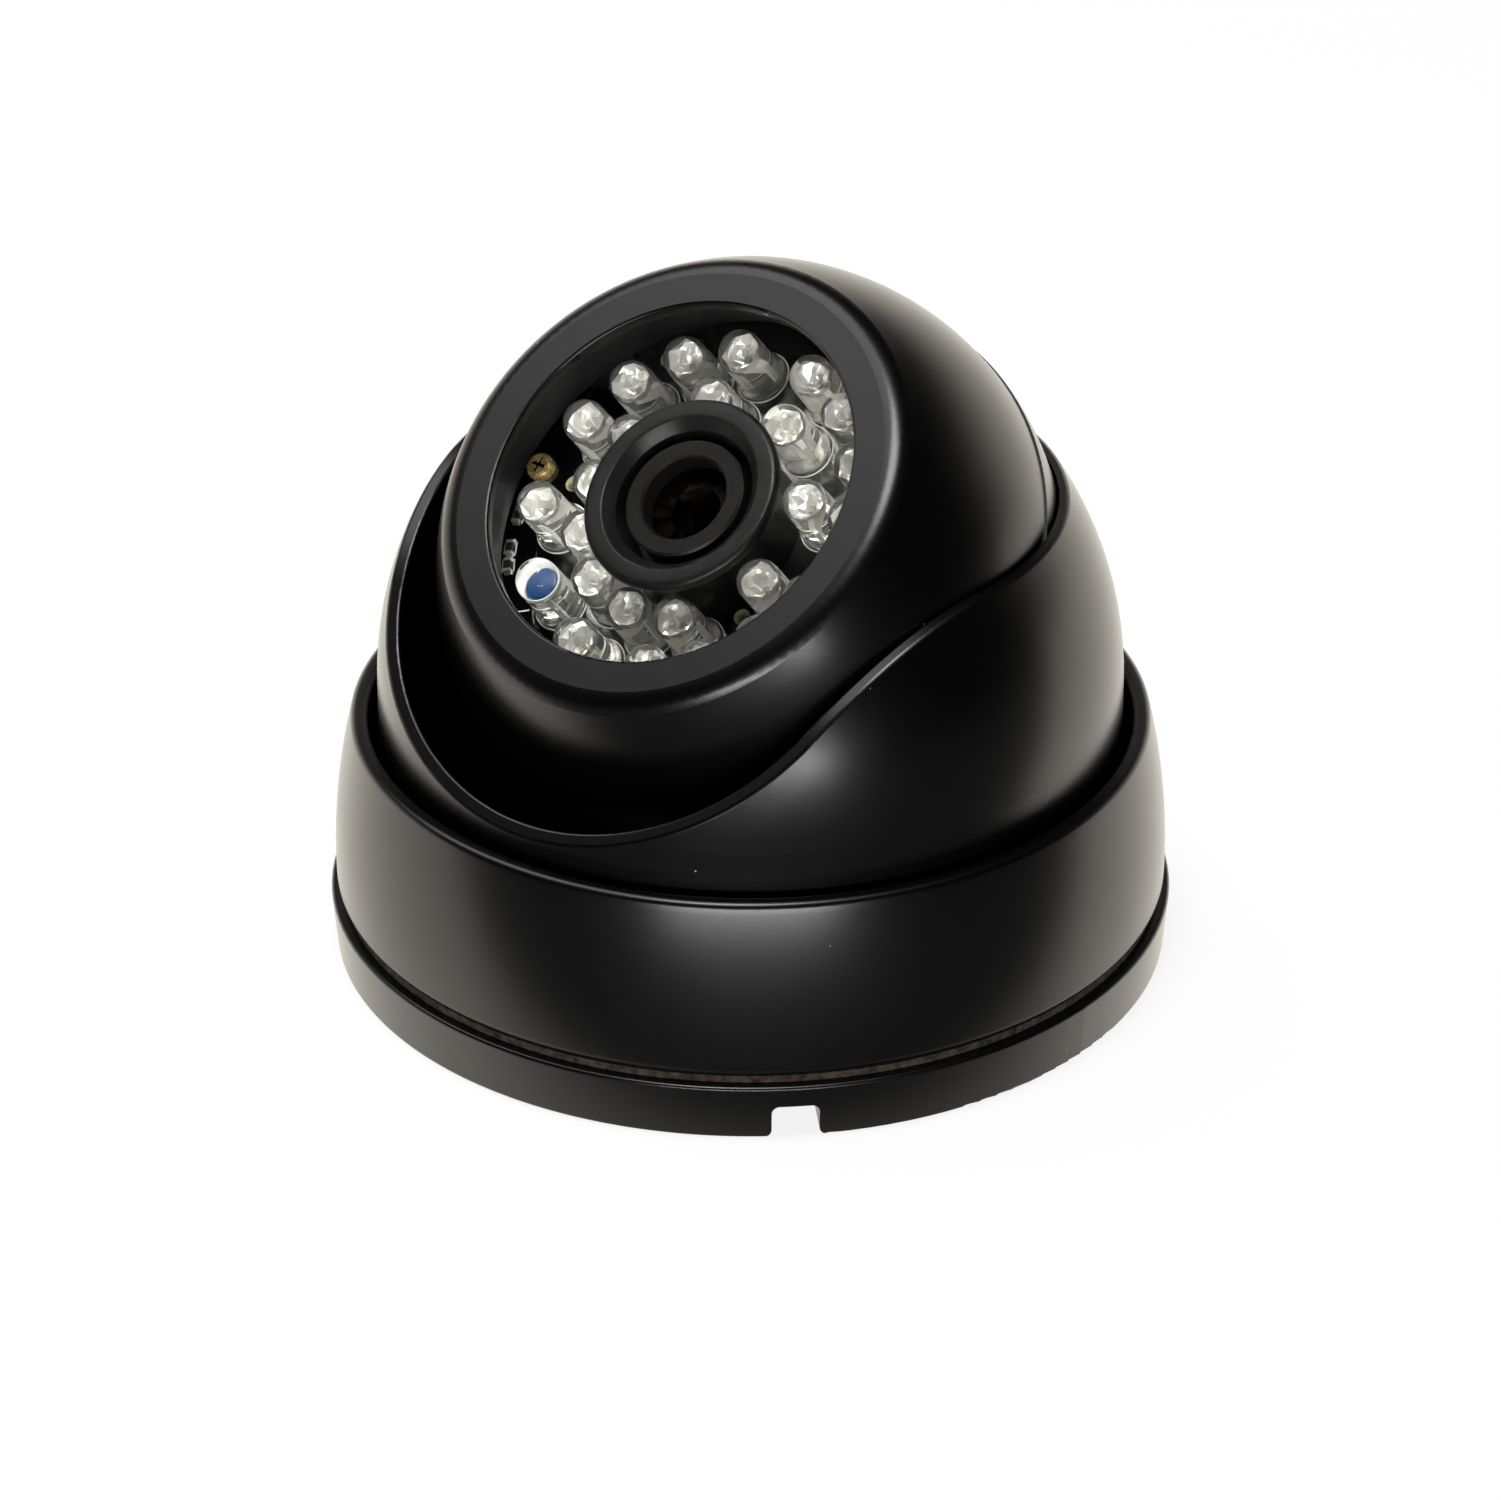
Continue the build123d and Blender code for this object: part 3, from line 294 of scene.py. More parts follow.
cadFinish = {
    "satinPowderCoat": ["base_plate", "ring_cover", "dome_shroud", "front_shell", "rear_shell"],
    "openCellFoam": ["base_seal"],
    "blackOxideSteel": ["cover_lock_screw", "yoke_bracket", "yoke_screws", "tilt_springs", "pivot_screws",
                        "shell_screws"],
    "naturalNylon": ["lower_glide_ring", "tilt_washers"],
    "mouldedRubber": ["upper_friction_ring", "cable_grommet", "shell_seal", "cable_gland", "window_seal"],
    "coatedFloatGlass": ["window_glass"],
    "mouldedGlassFilledNylon": ["window_retainer", "lens_shade", "lens_holder"],
    "castClearEpoxy": ["ir_leds", "light_sensor"],
    "tinnedCopper": ["led_leads"],
    "blackSolderMask": ["led_board"],
    "turnedBrass": ["board_screws", "board_standoffs", "sensor_standoffs"],
    "mouldedChipEpoxy": ["smd_parts", "board_chips"],
    "anodisedAluminium": ["lens_barrel", "lens_lock_ring"],
    "coatedLensGlass": ["lens_front_element", "lens_rear_element"],
    "zincPlatedSteel": ["lens_holder_screws", "sensor_board_screws", "chassis_screws"],
    "cyanFilterGlass": ["ir_cut_filter"],
    "chipCeramic": ["image_sensor"],
    "greenSolderMask": ["sensor_board"],
    "mouldedConnectorNylon": ["board_connectors"],
    "extrudedWireSleeve": ["board_lead"],
    "millAluminium": ["chassis_plate"],
    "sprayedLensLacquer": ["lens_front_ring"],
}
for name, users in cadFinish.items():
    for user in users:
        for slot in nodes[user].material_slots:
            slot.material = finish[name]
print("finishes given to", sum(len(users) for users in cadFinish.values()), "nodes")

# The head's own frame: its Z is the lens axis, with the ball's centre at 0
restElevation = 50
tiltJoint = [joint for joint in frame["joints"] if joint["name"] == "tilt"][0]
headFrame = Matrix.Translation(tiltJoint["pos_m"]) @ Matrix.Rotation(math.radians(90 - restElevation), 4, "X")


# a place on the lamp board: radius and height along the lens axis in mm, angle from the viewer's right
def boardPlace(radius, angle, height):
    a = math.radians(angle)
    spot = Vector((radius * math.cos(a), radius * math.sin(a), height)) * mm
    return headFrame @ Matrix.Translation(spot) @ Matrix.Rotation(a, 4, "Z")


# turns a profile of (radius, height) points in mm about Z; radius 0 closes the end
def lathe(mesh, profile, place, steps=32):
    rings = []
    for radius, height in profile:
        if radius == 0:
            rings.append([mesh.verts.new(place @ Vector((0, 0, height * mm)))])
            continue
        circle = []
        for i in range(steps):
            a = 2 * math.pi * i / steps
            spot = Vector((radius * math.cos(a), radius * math.sin(a), height)) * mm
            circle.append(mesh.verts.new(place @ spot))
        rings.append(circle)
    for low, high in zip(rings, rings[1:]):
        for i in range(steps):
            j = (i + 1) % steps
            if len(low) == 1:
                mesh.faces.new((low[0], high[j], high[i]))
            elif len(high) == 1:
                mesh.faces.new((low[i], low[j], high[0]))
            else:
                mesh.faces.new((low[i], low[j], high[j], high[i]))


# a flat plate: its outline in mm in the place's YZ plane, its thickness across X
def plate(mesh, outline, thickness, place):
    sides = []
    for x in (-thickness / 2, thickness / 2):
        sides.append([mesh.verts.new(place @ (Vector((x, y, z)) * mm)) for y, z in outline])
    mesh.faces.new(sides[0])
    mesh.faces.new(reversed(sides[1]))
    count = len(outline)
    for i in range(count):
        j = (i + 1) % count
        mesh.faces.new((sides[0][i], sides[1][i], sides[1][j], sides[0][j]))


# makes an object of a mesh, gives it a finish and lets it ride a body
def finishPiece(mesh, name, look, body, smooth=True):
    bmesh.ops.recalc_face_normals(mesh, faces=mesh.faces)
    for face in mesh.faces:
        face.smooth = smooth
    data = bpy.data.meshes.new(name)
    mesh.to_mesh(data)
    mesh.free()
    piece = bpy.data.objects.new(name, data)
    scene.collection.objects.link(piece)
    data.materials.append(finish[look])
    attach(piece, body)
    return piece


# rounds the corners of a profile; one radius in mm for each point, 0 for sharp
def rounded(points, radii, steps=8):
    result = []
    for i, (point, radius) in enumerate(zip(points, radii)):
        if radius == 0:
            result.append(point)
            continue
        corner = Vector(point)
        back = (Vector(points[i - 1]) - corner).normalized()
        on = (Vector(points[(i + 1) % len(points)]) - corner).normalized()
        half = back.angle(on) / 2
        centre = corner + (back + on).normalized() * (radius / math.sin(half))
        first = corner + back * (radius / math.tan(half)) - centre
        last = corner + on * (radius / math.tan(half)) - centre
        for k in range(steps + 1):
            spoke = first.lerp(last, k / steps).normalized() * radius
            result.append(tuple(centre + spoke))
    return result


# Ring cover, turned finely so that the light runs cleanly along its rim: sizes in mm as in the CAD
ring = {"foot": 7.3, "rim": 27.7, "outer": 46.26, "crown": 44.26, "bulge": 0.24, "rimBore": 42.3,
        "shoulder": 16.75, "bore": 43.36, "rimRadius": 0.8, "footRadius": 1.2, "wallSteps": 16, "steps": 288,
        "weld": 0.0001, "lockScrewRadius": 1.5, "lockScrewHeight": 10.55, "drillFrom": 42, "drillTo": 50,
        "sharpFrom": 35}
middle = (ring["foot"] + ring["rim"]) / 2
reach = (ring["rim"] - ring["foot"]) / 2
bend = (ring["crown"] - ring["outer"] + 2 * ring["bulge"]) / (2 * reach ** 2)
lean = (ring["crown"] - ring["outer"]) / (2 * reach)
outline = [(ring["bore"], ring["foot"])]
for i in range(ring["wallSteps"] + 1):
    z = -reach + 2 * reach * i / ring["wallSteps"]
    outline.append((ring["outer"] - ring["bulge"] + lean * z + bend * z * z, middle + z))
outline += [(ring["rimBore"], ring["rim"]), (ring["rimBore"], ring["shoulder"]),
            (ring["bore"], ring["shoulder"])]
radii = [0, ring["footRadius"]] + [0] * (ring["wallSteps"] - 1) + [ring["rimRadius"], ring["rimRadius"], 0, 0]
outline = rounded(outline, radii)
ringMesh = bmesh.new()
lathe(ringMesh, outline + outline[:1], Matrix.Identity(4), ring["steps"])
bmesh.ops.remove_doubles(ringMesh, verts=ringMesh.verts, dist=ring["weld"] * mm)
ringCover = finishPiece(ringMesh, "ringCover", "satinPowderCoat", "base")
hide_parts("ring_cover")
drillMesh = bmesh.new()
drillOutline = [(0, ring["drillFrom"]), (ring["lockScrewRadius"], ring["drillFrom"]),
                (ring["lockScrewRadius"], ring["drillTo"]), (0, ring["drillTo"])]
lathe(drillMesh, drillOutline,
      Matrix.Translation((0, 0, ring["lockScrewHeight"] * mm)) @ Matrix.Rotation(-math.pi / 2, 4, "X"))
bmesh.ops.recalc_face_normals(drillMesh, faces=drillMesh.faces)
drillData = bpy.data.meshes.new("lockScrewDrill")
drillMesh.to_mesh(drillData)
drillMesh.free()
drill = bpy.data.objects.new("lockScrewDrill", drillData)
scene.collection.objects.link(drill)
cut = ringCover.modifiers.new("lockScrewHole", "BOOLEAN")
cut.operation = "DIFFERENCE"
cut.object = drill
drilled = bpy.data.meshes.new_from_object(ringCover.evaluated_get(bpy.context.evaluated_depsgraph_get()))
ringCover.modifiers.clear()
ringCover.data = drilled
drilled.set_sharp_from_angle(angle=math.radians(ring["sharpFrom"]))
bpy.data.objects.remove(drill)
print("ring cover made")

# Lamps: clear round bodies with a stamped frame and a bright cup inside, in mm. The frame's two legs are
# outlines over the board, and the cup and chip stand on the cup's foot. A row of lamps is its first angle,
# the step to the next one and their count
lamp = {"radius": 2.5, "flangeRadius": 2.9, "flangeHeight": 1.0, "height": 8.5, "boardHeight": 8.934,
        "seat": 0.02, "edge": 0.12, "neck": 0.05, "domeStep": 9, "innerRing": 13.3, "outerRing": 19.2,
        "innerRows": [(157.5, 27, 5), (292.5, 45, 5)], "outerRows": [(15, 20, 4), (105, 20, 4), (285, 20, 4)],
        "sensorAngle": 226, "besideSensor": 29,
        "cathode": [(-1.5, 0.1), (-1.0, 0.1), (-1.0, 2.2), (0.55, 3.9), (0.55, 4.62), (-0.75, 4.62),
                    (-1.5, 3.4)],
        "anode": [(1.0, 0.1), (1.5, 0.1), (1.55, 3.6), (1.75, 4.9), (1.5, 4.9), (1.15, 4.0), (1.0, 2.6)],
        "frameThickness": 0.5, "cupFoot": 4.6,
        "cup": [(0, 0), (0.7, 0), (1.05, 0.4), (1.35, 1.1), (1.2, 1.1), (1.0, 0.75), (0.75, 0.5), (0.45, 0.3),
                (0, 0.25)],
        "cupSteps": 15, "crumple": 0.14, "crumpleSeed": 5,
        "chip": [(-0.2, 0.26), (0.2, 0.26), (0.2, 0.46), (-0.2, 0.46)], "chipWidth": 0.4}
innerAngles = [first + step * i for first, step, count in lamp["innerRows"] for i in range(count)]
outerAngles = [first + step * i for first, step, count in lamp["outerRows"] for i in range(count)]
outerAngles += [lamp["sensorAngle"] - lamp["besideSensor"], lamp["sensorAngle"] + lamp["besideSensor"]]
lampPlaces = [boardPlace(lamp["innerRing"], angle, lamp["boardHeight"]) for angle in innerAngles]
lampPlaces += [boardPlace(lamp["outerRing"], angle, lamp["boardHeight"]) for angle in outerAngles]
sensorPlace = boardPlace(lamp["outerRing"], lamp["sensorAngle"], lamp["boardHeight"])


def bulbProfile():
    r = lamp["radius"]
    shoulder = lamp["height"] - r
    flange = lamp["flangeRadius"]
    top = lamp["flangeHeight"]
    seat = lamp["seat"]
    edge = lamp["edge"]
    points = [(0, seat), (flange - edge, seat), (flange, seat + edge), (flange, top - edge)]
    points += [(flange - edge, top), (r + lamp["neck"], top), (r, top + edge)]
    for degrees in range(0, 90, lamp["domeStep"]):
        a = math.radians(degrees)
        points.append((r * math.cos(a), shoulder + r * math.sin(a)))
    return points + [(0, lamp["height"])]


bodies = bmesh.new()
frames = bmesh.new()
cups = bmesh.new()
chips = bmesh.new()
cupProfile = [(radius, height + lamp["cupFoot"]) for radius, height in lamp["cup"]]
chipOutline = [(y, z + lamp["cupFoot"]) for y, z in lamp["chip"]]
for place in lampPlaces + [sensorPlace]:
    plate(frames, lamp["cathode"], lamp["frameThickness"], place)
    plate(frames, lamp["anode"], lamp["frameThickness"], place)
for place in lampPlaces:
    lathe(bodies, bulbProfile(), place)
    lathe(cups, cupProfile, place, lamp["cupSteps"])
    plate(chips, chipOutline, lamp["chipWidth"], place)
noise.seed_set(lamp["crumpleSeed"])
for point in cups.verts:
    point.co += noise.random_unit_vector() * lamp["crumple"] * mm  # each stamped cup is a little uneven
lampBodies = finishPiece(bodies, "lampBodies", "castClearEpoxy", "eyeball")
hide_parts("ir_leds")
finishPiece(frames, "lampFrames", "silverPlatedFrame", "eyeball", smooth=False)
finishPiece(cups, "lampCups", "stampedSilverCup", "eyeball", smooth=False)
finishPiece(chips, "lampChips", "siliconChip", "eyeball", smooth=False)
print("lamps made:", len(lampPlaces))

# Light sensor: the same clear body over a pale cup with a round blue cell
sensor = {"cup": [(0, 4.4), (1.3, 4.4), (1.6, 5.3), (1.42, 5.35), (1.2, 5.1), (0, 5.1)],
          "cell": [(0, 5.11), (1.12, 5.11), (1.12, 5.3), (0.95, 5.42), (0, 5.5)]}
sensorMesh = bmesh.new()
lathe(sensorMesh, bulbProfile(), sensorPlace)
sensorBody = finishPiece(sensorMesh, "sensorBody", "castClearEpoxy", "eyeball")
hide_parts("light_sensor")
cupMesh = bmesh.new()
lathe(cupMesh, sensor["cup"], sensorPlace)
finishPiece(cupMesh, "sensorCup", "whiteCupCeramic", "eyeball")
cellMesh = bmesh.new()
lathe(cellMesh, sensor["cell"], sensorPlace)
finishPiece(cellMesh, "sensorCell", "blueSensorCell", "eyeball")
print("light sensor made")

# Lamp board: printed ink, tinned ends on the chip resistors, bare fibreglass inside the holes, and painted
# shade
# in the screw heads: dark plates in the cross recesses. Places are a radius in mm and an angle, and for
# printed corners also a turn
board = {"inkFoot": 0.002, "inkTop": 0.03, "inkWidth": 0.16, "circleRadius": 3.0, "circleSteps": 48,
         "thickness": 1.6, "holeRadius": 0.95, "holes": [(24.3, 136), (20.2, 181), (11.4, 317), (11.4, 45)],
         "liningOut": 0.005, "liningIn": 0.06, "liningSunk": 0.01, "liningSteps": 24,
         "resistors": [(25.2, 190), (25.2, 194), (25.2, 203), (25.2, 208), (25.2, 92), (17.6, 271)],
         "endCap": [(0.5, 0), (1.15, 0), (0.86, 0.3), (0.82, 0.53), (0.5, 0.53)], "endWidth": 0.84,
         "besideResistor": 0.7, "besideLength": 1.5,
         "corners": [(14.6, 4, 30), (13.1, 307, 200), (24.6, 222, 75), (24.3, 262, 120)], "cornerLength": 1.7,
         "screws": [(24.9, 60), (24.9, 180), (24.9, 300)], "crossLength": 1.9, "crossWidth": 0.43,
         "crossFoot": 0.61, "crossTop": 0.9}


# a bar for plate(), its length along Y
def bar(length, foot, top):
    return [(-length / 2, foot), (length / 2, foot), (length / 2, top), (-length / 2, top)]


# one printed line, length in mm along the place's Y
def inkLine(mesh, place, length):
    plate(mesh, bar(length, board["inkFoot"], board["inkTop"]), board["inkWidth"], place)


ink = bmesh.new()
ringIn = board["circleRadius"]
ringOut = ringIn + board["inkWidth"]
inkRing = [(ringIn, board["inkFoot"]), (ringOut, board["inkFoot"]), (ringOut, board["inkTop"]),
           (ringIn, board["inkTop"])]
for place in lampPlaces + [sensorPlace]:
    lathe(ink, inkRing + inkRing[:1], place, board["circleSteps"])
ends = bmesh.new()
for radius, angle in board["resistors"]:
    place = boardPlace(radius, angle, lamp["boardHeight"])
    for side in (0, math.pi):
        plate(ends, board["endCap"], board["endWidth"], place @ Matrix.Rotation(side, 4, "Z"))
        beside = Matrix.Rotation(side, 4, "Z") @ Matrix.Translation((board["besideResistor"] * mm, 0, 0))
        inkLine(ink, place @ beside, board["besideLength"])
for radius, angle, spin in board["corners"]:
    corner = boardPlace(radius, angle, lamp["boardHeight"]) @ Matrix.Rotation(math.radians(spin), 4, "Z")
    half = board["cornerLength"] / 2 * mm
    inkLine(ink, corner @ Matrix.Translation((0, half, 0)), board["cornerLength"])
    inkLine(ink, corner @ Matrix.Rotation(-math.pi / 2, 4, "Z") @ Matrix.Translation((0, half, 0)),
            board["cornerLength"])
linings = bmesh.new()
holeOut = board["holeRadius"] - board["liningOut"]
holeIn = board["holeRadius"] - board["liningIn"]
holeTop = -board["liningSunk"]
holeFoot = board["liningSunk"] - board["thickness"]
lining = [(holeIn, holeFoot), (holeOut, holeFoot), (holeOut, holeTop), (holeIn, holeTop)]
for radius, angle in board["holes"]:
    place = boardPlace(radius, angle, lamp["boardHeight"])
    lathe(linings, lining + lining[:1], place, board["liningSteps"])
crossShadePlates = bmesh.new()
crossOutline = bar(board["crossLength"], board["crossFoot"], board["crossTop"])
for radius, angle in board["screws"]:
    place = boardPlace(radius, angle, lamp["boardHeight"])
    for side in (0, math.pi / 2):
        plate(crossShadePlates, crossOutline, board["crossWidth"], place @ Matrix.Rotation(side, 4, "Z"))
# painted shade: dark plates that darken the screws' cross recesses, finished like black oxide steel
finishPiece(crossShadePlates, "screwCrossShadows", "blackOxideSteel", "eyeball", smooth=False)
finishPiece(ink, "boardInk", "whiteBoardInk", "eyeball", smooth=False)
finishPiece(ends, "resistorEnds", "tinnedCopper", "eyeball", smooth=False)
finishPiece(linings, "holeLinings", "bareFibreglass", "eyeball")
print("board details made")

# Lens shade: a tube with a flat collar, well rounded outside and coned inside, in mm as in the CAD
shade = {"foot": 8.95, "bore": 8.1, "tube": 10.0, "collar": 11.55, "collarFoot": 17.534, "top": 18.934,
         "coneRadius": 9.3, "coneFoot": 17.7, "collarUnder": 0.25, "collarEdge": 0.75, "coneEdge": 0.4,
         "boreEdge": 0.15, "steps": 160, "sharpFrom": 50}
outline = [(shade["bore"], shade["foot"]), (shade["tube"], shade["foot"]),
           (shade["tube"], shade["collarFoot"]), (shade["collar"], shade["collarFoot"]),
           (shade["collar"], shade["top"]), (shade["coneRadius"], shade["top"]),
           (shade["bore"], shade["coneFoot"])]
radii = [0, 0, 0, shade["collarUnder"], shade["collarEdge"], shade["coneEdge"], shade["boreEdge"]]
outline = rounded(outline, radii)
shadeMesh = bmesh.new()
lathe(shadeMesh, outline + outline[:1], headFrame, shade["steps"])
lensShade = finishPiece(shadeMesh, "lensShade", "mouldedGlassFilledNylon", "eyeball")
lensShade.data.set_sharp_from_angle(angle=math.radians(shade["sharpFrom"]))
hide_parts("lens_shade")
print("lens shade made")

# Lens, in mm: a flat lacquered ring round the front glass, and a small amber-coated element in a black holder
# deep in the tube
lens = {"ringTop": 17.78, "ringFoot": 15.1, "ringBore": 4.95, "ringSeat": 6.15, "ringRadius": 6.86,
        "ringLip": 0.04, "ringEdge": 0.03, "boreWide": 0.25, "boreDeep": 0.3, "ringSteps": 96,
        "elementRadius": 1.4, "elementFoot": 11.8, "rimHeight": 0.3, "crown": 1.1, "crownSteps": 8,
        "elementSteps": 40, "holderRadius": 2.72, "holderFoot": 11.6, "holderRise": 0.6, "holderGap": 0.02,
        "holderSteps": 48, "sharpFrom": 35}
lensRingMesh = bmesh.new()
lipFoot = lens["ringTop"] - lens["ringLip"]
ringOutline = [(lens["ringBore"], lens["ringFoot"]), (lens["ringSeat"], lens["ringFoot"]),
               (lens["ringSeat"], lipFoot), (lens["ringRadius"], lipFoot),
               (lens["ringRadius"] - lens["ringEdge"], lens["ringTop"]),
               (lens["ringBore"] + lens["boreWide"], lens["ringTop"]),
               (lens["ringBore"], lens["ringTop"] - lens["boreDeep"])]
lathe(lensRingMesh, ringOutline + ringOutline[:1], headFrame, lens["ringSteps"])
lensFrontRing = finishPiece(lensRingMesh, "lensFrontRing", "sprayedLensLacquer", "eyeball",
                            smooth=False)
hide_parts("lens_front_ring")
elementMesh = bmesh.new()
curve = (lens["elementRadius"] ** 2 + lens["crown"] ** 2) / (2 * lens["crown"])
half = math.asin(lens["elementRadius"] / curve)
rim = lens["elementFoot"] + lens["rimHeight"]
element = [(0, lens["elementFoot"]), (lens["elementRadius"], lens["elementFoot"])]
for i in range(lens["crownSteps"]):
    a = half * (1 - i / lens["crownSteps"])
    element.append((curve * math.sin(a), rim + lens["crown"] - curve * (1 - math.cos(a))))
lathe(elementMesh, element + [(0, rim + lens["crown"])], headFrame, lens["elementSteps"])
finishPiece(elementMesh, "lensInnerElement", "amberCoatedGlass", "eyeball")
holderMesh = bmesh.new()
seatRadius = lens["elementRadius"] + lens["holderGap"]
seatFloor = lens["elementFoot"] - lens["holderGap"]
holder = [(0, lens["holderFoot"]), (lens["holderRadius"], lens["holderFoot"]),
          (lens["holderRadius"], rim + lens["holderRise"]), (seatRadius, rim), (seatRadius, seatFloor),
          (0, seatFloor)]
lathe(holderMesh, holder, headFrame, lens["holderSteps"])
innerHolder = finishPiece(holderMesh, "lensInnerHolder", "anodisedAluminium", "eyeball")
innerHolder.data.set_sharp_from_angle(angle=math.radians(lens["sharpFrom"]))
print("lens ring and inner lens element made")

# Camera, fitted to the photograph
view = {"distanceMm": 900, "azimuth": 39, "elevation": 28.905, "targetMm": (0, 0, 22.03), "focalMm": 193.96,
        "sensorMm": 36, "clipStart": 0.01}
turn = math.radians(view["azimuth"])
lift = math.radians(view["elevation"])
away = Vector((math.sin(turn) * math.cos(lift), -math.cos(turn) * math.cos(lift), math.sin(lift)))
target = Vector(view["targetMm"]) * mm
camera = bpy.data.objects.new("camera", bpy.data.cameras.new("camera"))
camera.location = target + away * view["distanceMm"] * mm
camera.rotation_euler = away.to_track_quat("Z", "Y").to_euler()
camera.data.lens = view["focalMm"]
camera.data.sensor_width = view["sensorMm"]
camera.data.clip_start = view["clipStart"]
scene.collection.objects.link(camera)
scene.camera = camera

# Soft boxes: place and size in metres, radiance where white paper is 1; edge is the direction of one side
softBoxes = {
    "overhead": {"place": (-0.609, -0.061, 1.044), "size": (0.7, 0.7), "radiance": 2.9,
                 "aim": (-0.0004, -0.013, 0.0601), "edge": (0.821, -0.296, 0.489)},
    "topKey": {"place": (0.05, -0.15, 0.93), "size": (0.35, 0.35), "radiance": 15.0, "aim": (0, 0, 0.04),
               "edge": (1, 0, -0.05)},
    "front": {"place": (0.783, -0.968, 0.05), "size": (1.0, 0.08), "radiance": 44.0, "aim": (0, 0, 0.026),
              "edge": (0.777, 0.629, 0)},
}
for name, box in softBoxes.items():
    light = bpy.data.lights.new(name, "AREA")
    light.shape = "RECTANGLE"
    light.size, light.size_y = box["size"]
    light.energy = math.pi * light.size * light.size_y * box["radiance"]
    facing = (Vector(box["place"]) - Vector(box["aim"])).normalized()
    across = Vector(box["edge"]).normalized()
    turned = Matrix((across, facing.cross(across).normalized(), facing)).transposed()
    lightObject = bpy.data.objects.new(name, light)
    lightObject.matrix_world = Matrix.Translation(box["place"]) @ turned.to_4x4()
    lightObject.visible_camera = False
    scene.collection.objects.link(lightObject)

# Room: white to the camera. Satin black paint mirrors a low white wall behind and beside the object and a
# dark room in front and overhead, which gives it bright edges and deep black faces. The wall fades from its
# foot to its top, as shares of straight up
room = {"darkAzimuth": 47, "fade": (0.0, 0.62), "wall": 1.5, "front": 0.0, "foot": 0.1, "top": 0.5,
        "colour": "#fff9ec", "seenColour": "#ffffff", "seenStrength": 1.0}
dark = math.radians(room["darkAzimuth"])
wallDirection = (-math.sin(dark), math.cos(dark), 0)


# 0 to 1 from dark to white, by how far this direction or place lies towards the wall; fallBack takes some off
# for each metre away
def wallShare(tree, place, fade, fallBack=0.0):
    along = addNode(tree, "VectorMath", {"operation": "DOT_PRODUCT", 1: wallDirection}, {0: place})
    out = addNode(tree, "VectorMath", {"operation": "LENGTH"}, {0: place})
    towards = addNode(tree, "Math", {"operation": "MULTIPLY_ADD", 1: fallBack},
                      {0: out.outputs["Value"], 2: along.outputs["Value"]})
    share = addNode(tree, "MapRange", {"interpolation_type": "SMOOTHSTEP", "From Min": fade[0],
                                       "From Max": fade[1]}, {"Value": towards.outputs["Value"]})
    return share.outputs[0]


# 1 for what the camera sees straight on or through glass, 0 for light that has bounced inside the object
def seenStraight(tree):
    ray = addNode(tree, "LightPath")
    bounces = addNode(tree, "Math", {"operation": "ADD"},
                      {0: ray.outputs["Diffuse Depth"], 1: ray.outputs["Glossy Depth"]})
    straight = addNode(tree, "Math", {"operation": "LESS_THAN", 1: 0.5}, {0: bounces.outputs[0]})
    through = addNode(tree, "Math", {"operation": "MULTIPLY"},
                      {0: ray.outputs["Is Transmission Ray"], 1: straight.outputs[0]})
    return addNode(tree, "Math", {"operation": "MAXIMUM"},
                   {0: ray.outputs["Is Camera Ray"], 1: through.outputs[0]})


world = bpy.data.worlds.new("studio")
scene.world = world
world.use_nodes = True
tree = world.node_tree
tree.nodes.clear()
direction = addNode(tree, "TexCoord").outputs["Generated"]
height = addNode(tree, "SeparateXYZ", {}, {0: direction})
low = addNode(tree, "MapRange", {"interpolation_type": "SMOOTHSTEP", "From Min": room["foot"],
                                 "From Max": room["top"], "To Min": room["wall"], "To Max": room["front"]},
              {"Value": height.outputs["Z"]})
level = addNode(tree, "Mix", {"data_type": "FLOAT", 2: room["front"]},
                {0: wallShare(tree, direction, room["fade"]), 3: low.outputs[0]})
seen = seenStraight(tree)
strength = addNode(tree, "Mix", {"data_type": "FLOAT", 3: room["seenStrength"]},
                   {0: seen.outputs[0], 2: level.outputs[0]})
tones = {"data_type": "RGBA", 6: linear(room["colour"]), 7: linear(room["seenColour"])}
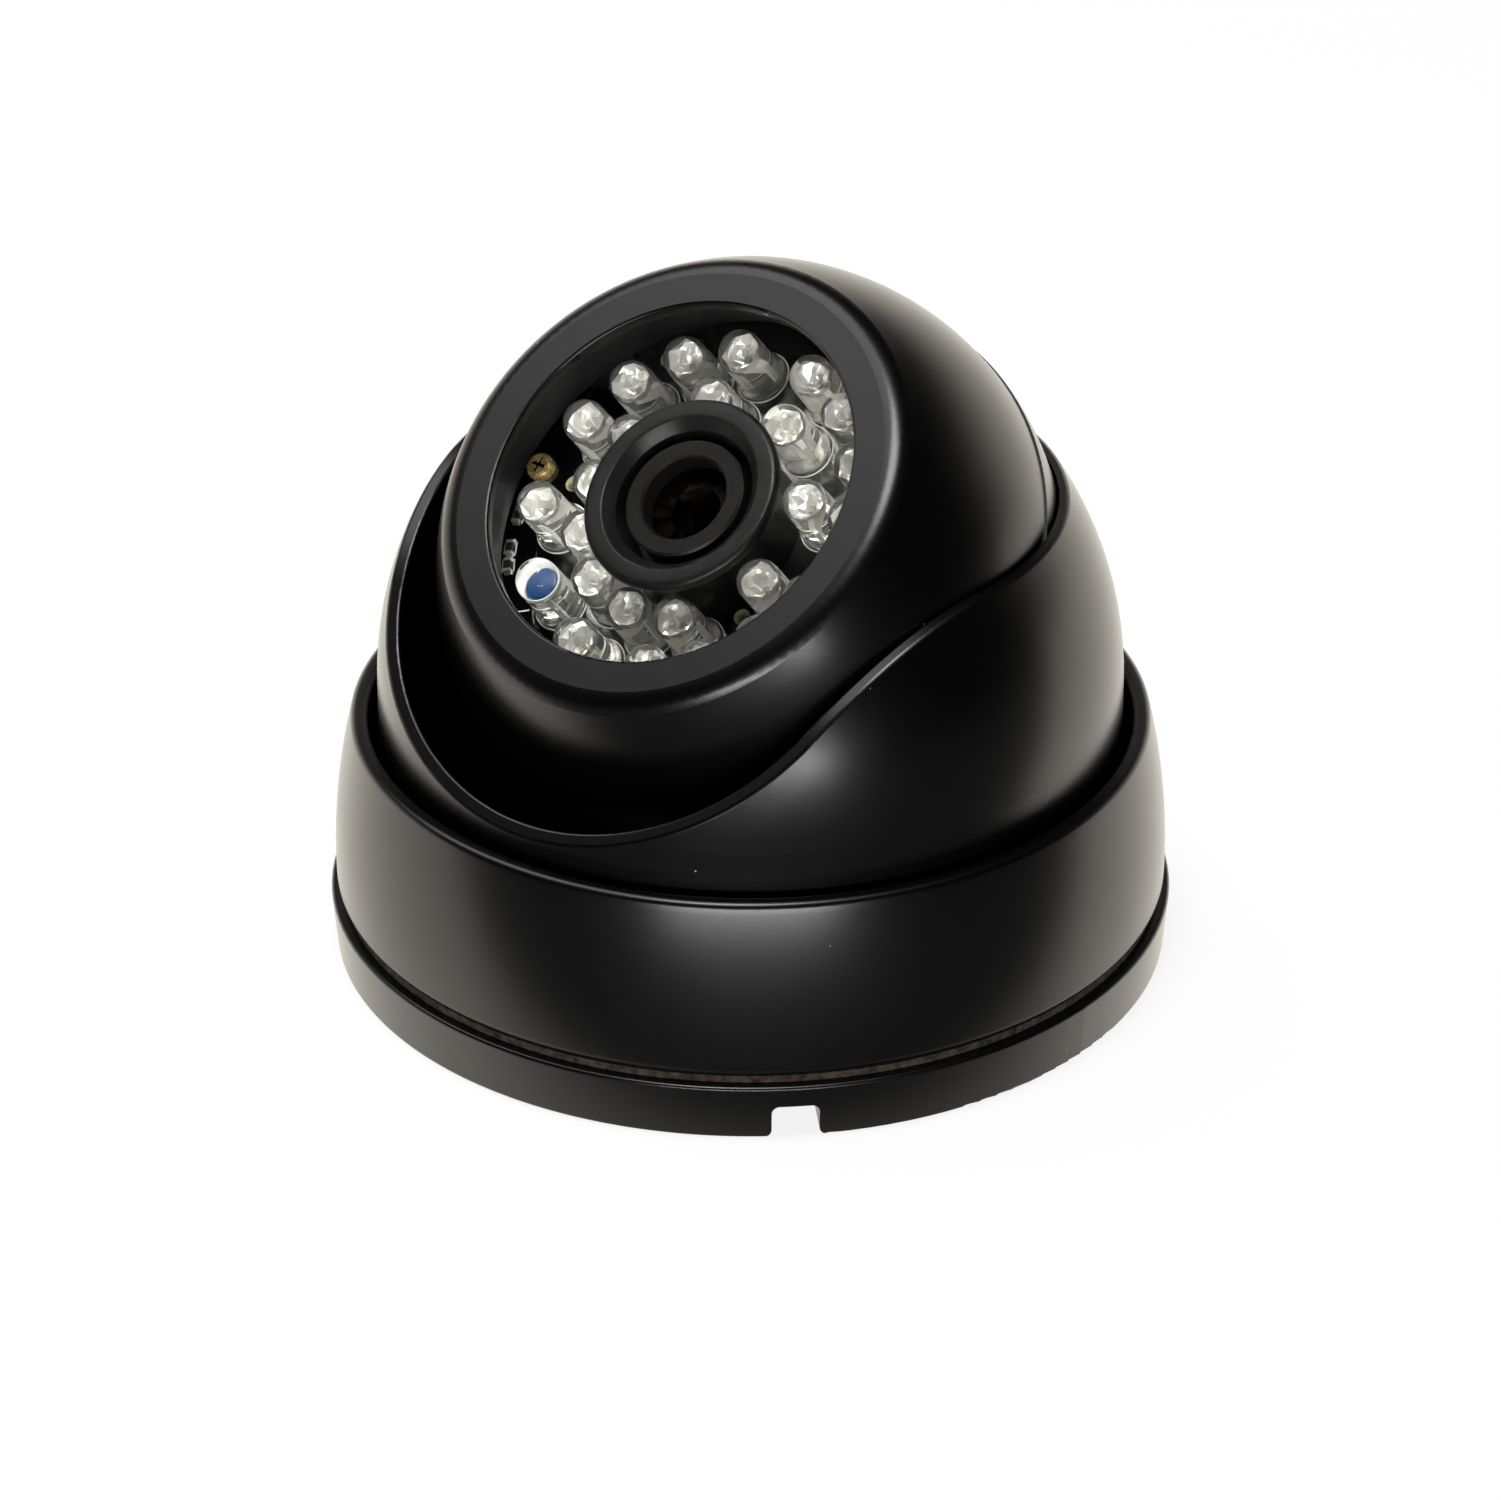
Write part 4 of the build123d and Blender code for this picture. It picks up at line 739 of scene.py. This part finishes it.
tone = addNode(tree, "Mix", tones, {0: seen.outputs[0]})
background = addNode(tree, "Background", {}, {"Color": tone.outputs[2], "Strength": strength.outputs[0]})
output = addNode(tree, "OutputWorld")
tree.links.new(background.outputs[0], output.inputs["Surface"])

# Table: matt paper that keeps the object's shadow; a glow lifts it to white for the camera. In reflections
# the white fades out between two distances just in front of the object, in metres, and falls back to the
# sides
table = {"halfSize": 3.0, "gap": 0.1, "colour": "#6a6a6a", "glow": 0.88, "mirrored": 1.6,
         "fade": (-0.062, -0.036), "fallBack": -0.136}
tableMesh = bmesh.new()
bmesh.ops.create_grid(tableMesh, x_segments=1, y_segments=1, size=table["halfSize"])
tableData = bpy.data.meshes.new("table")
tableMesh.to_mesh(tableData)
tableMesh.free()
tableTop = bpy.data.objects.new("table", tableData)
tableTop.location.z = -table["gap"] * mm
scene.collection.objects.link(tableTop)
tablePaper, tree, output = startMaterial("mattPaper")
seen = seenStraight(tree)
ray = addNode(tree, "LightPath")
place = addNode(tree, "TexCoord").outputs["Object"]
behind = addNode(tree, "Math", {"operation": "MULTIPLY", 1: table["mirrored"]},
                 {0: wallShare(tree, place, table["fade"], table["fallBack"])})
mirrored = addNode(tree, "Math", {"operation": "MULTIPLY"},
                   {0: ray.outputs["Is Glossy Ray"], 1: behind.outputs[0]})
direct = addNode(tree, "Math", {"operation": "MULTIPLY", 1: table["glow"]}, {0: seen.outputs[0]})
glow = addNode(tree, "Math", {"operation": "MAXIMUM"}, {0: direct.outputs[0], 1: mirrored.outputs[0]})
paper = addNode(tree, "BsdfDiffuse", {"Color": linear(table["colour"])})
tone = addNode(tree, "Mix", tones, {0: seen.outputs[0]})
shine = addNode(tree, "Emission", {}, {"Color": tone.outputs[2], "Strength": glow.outputs[0]})
both = addNode(tree, "AddShader", {}, {0: paper.outputs[0], 1: shine.outputs[0]})
tree.links.new(both.outputs[0], output.inputs["Surface"])
tableData.materials.append(tablePaper)
scene.view_settings.view_transform = "Standard"
print("camera, lights, room and table set")
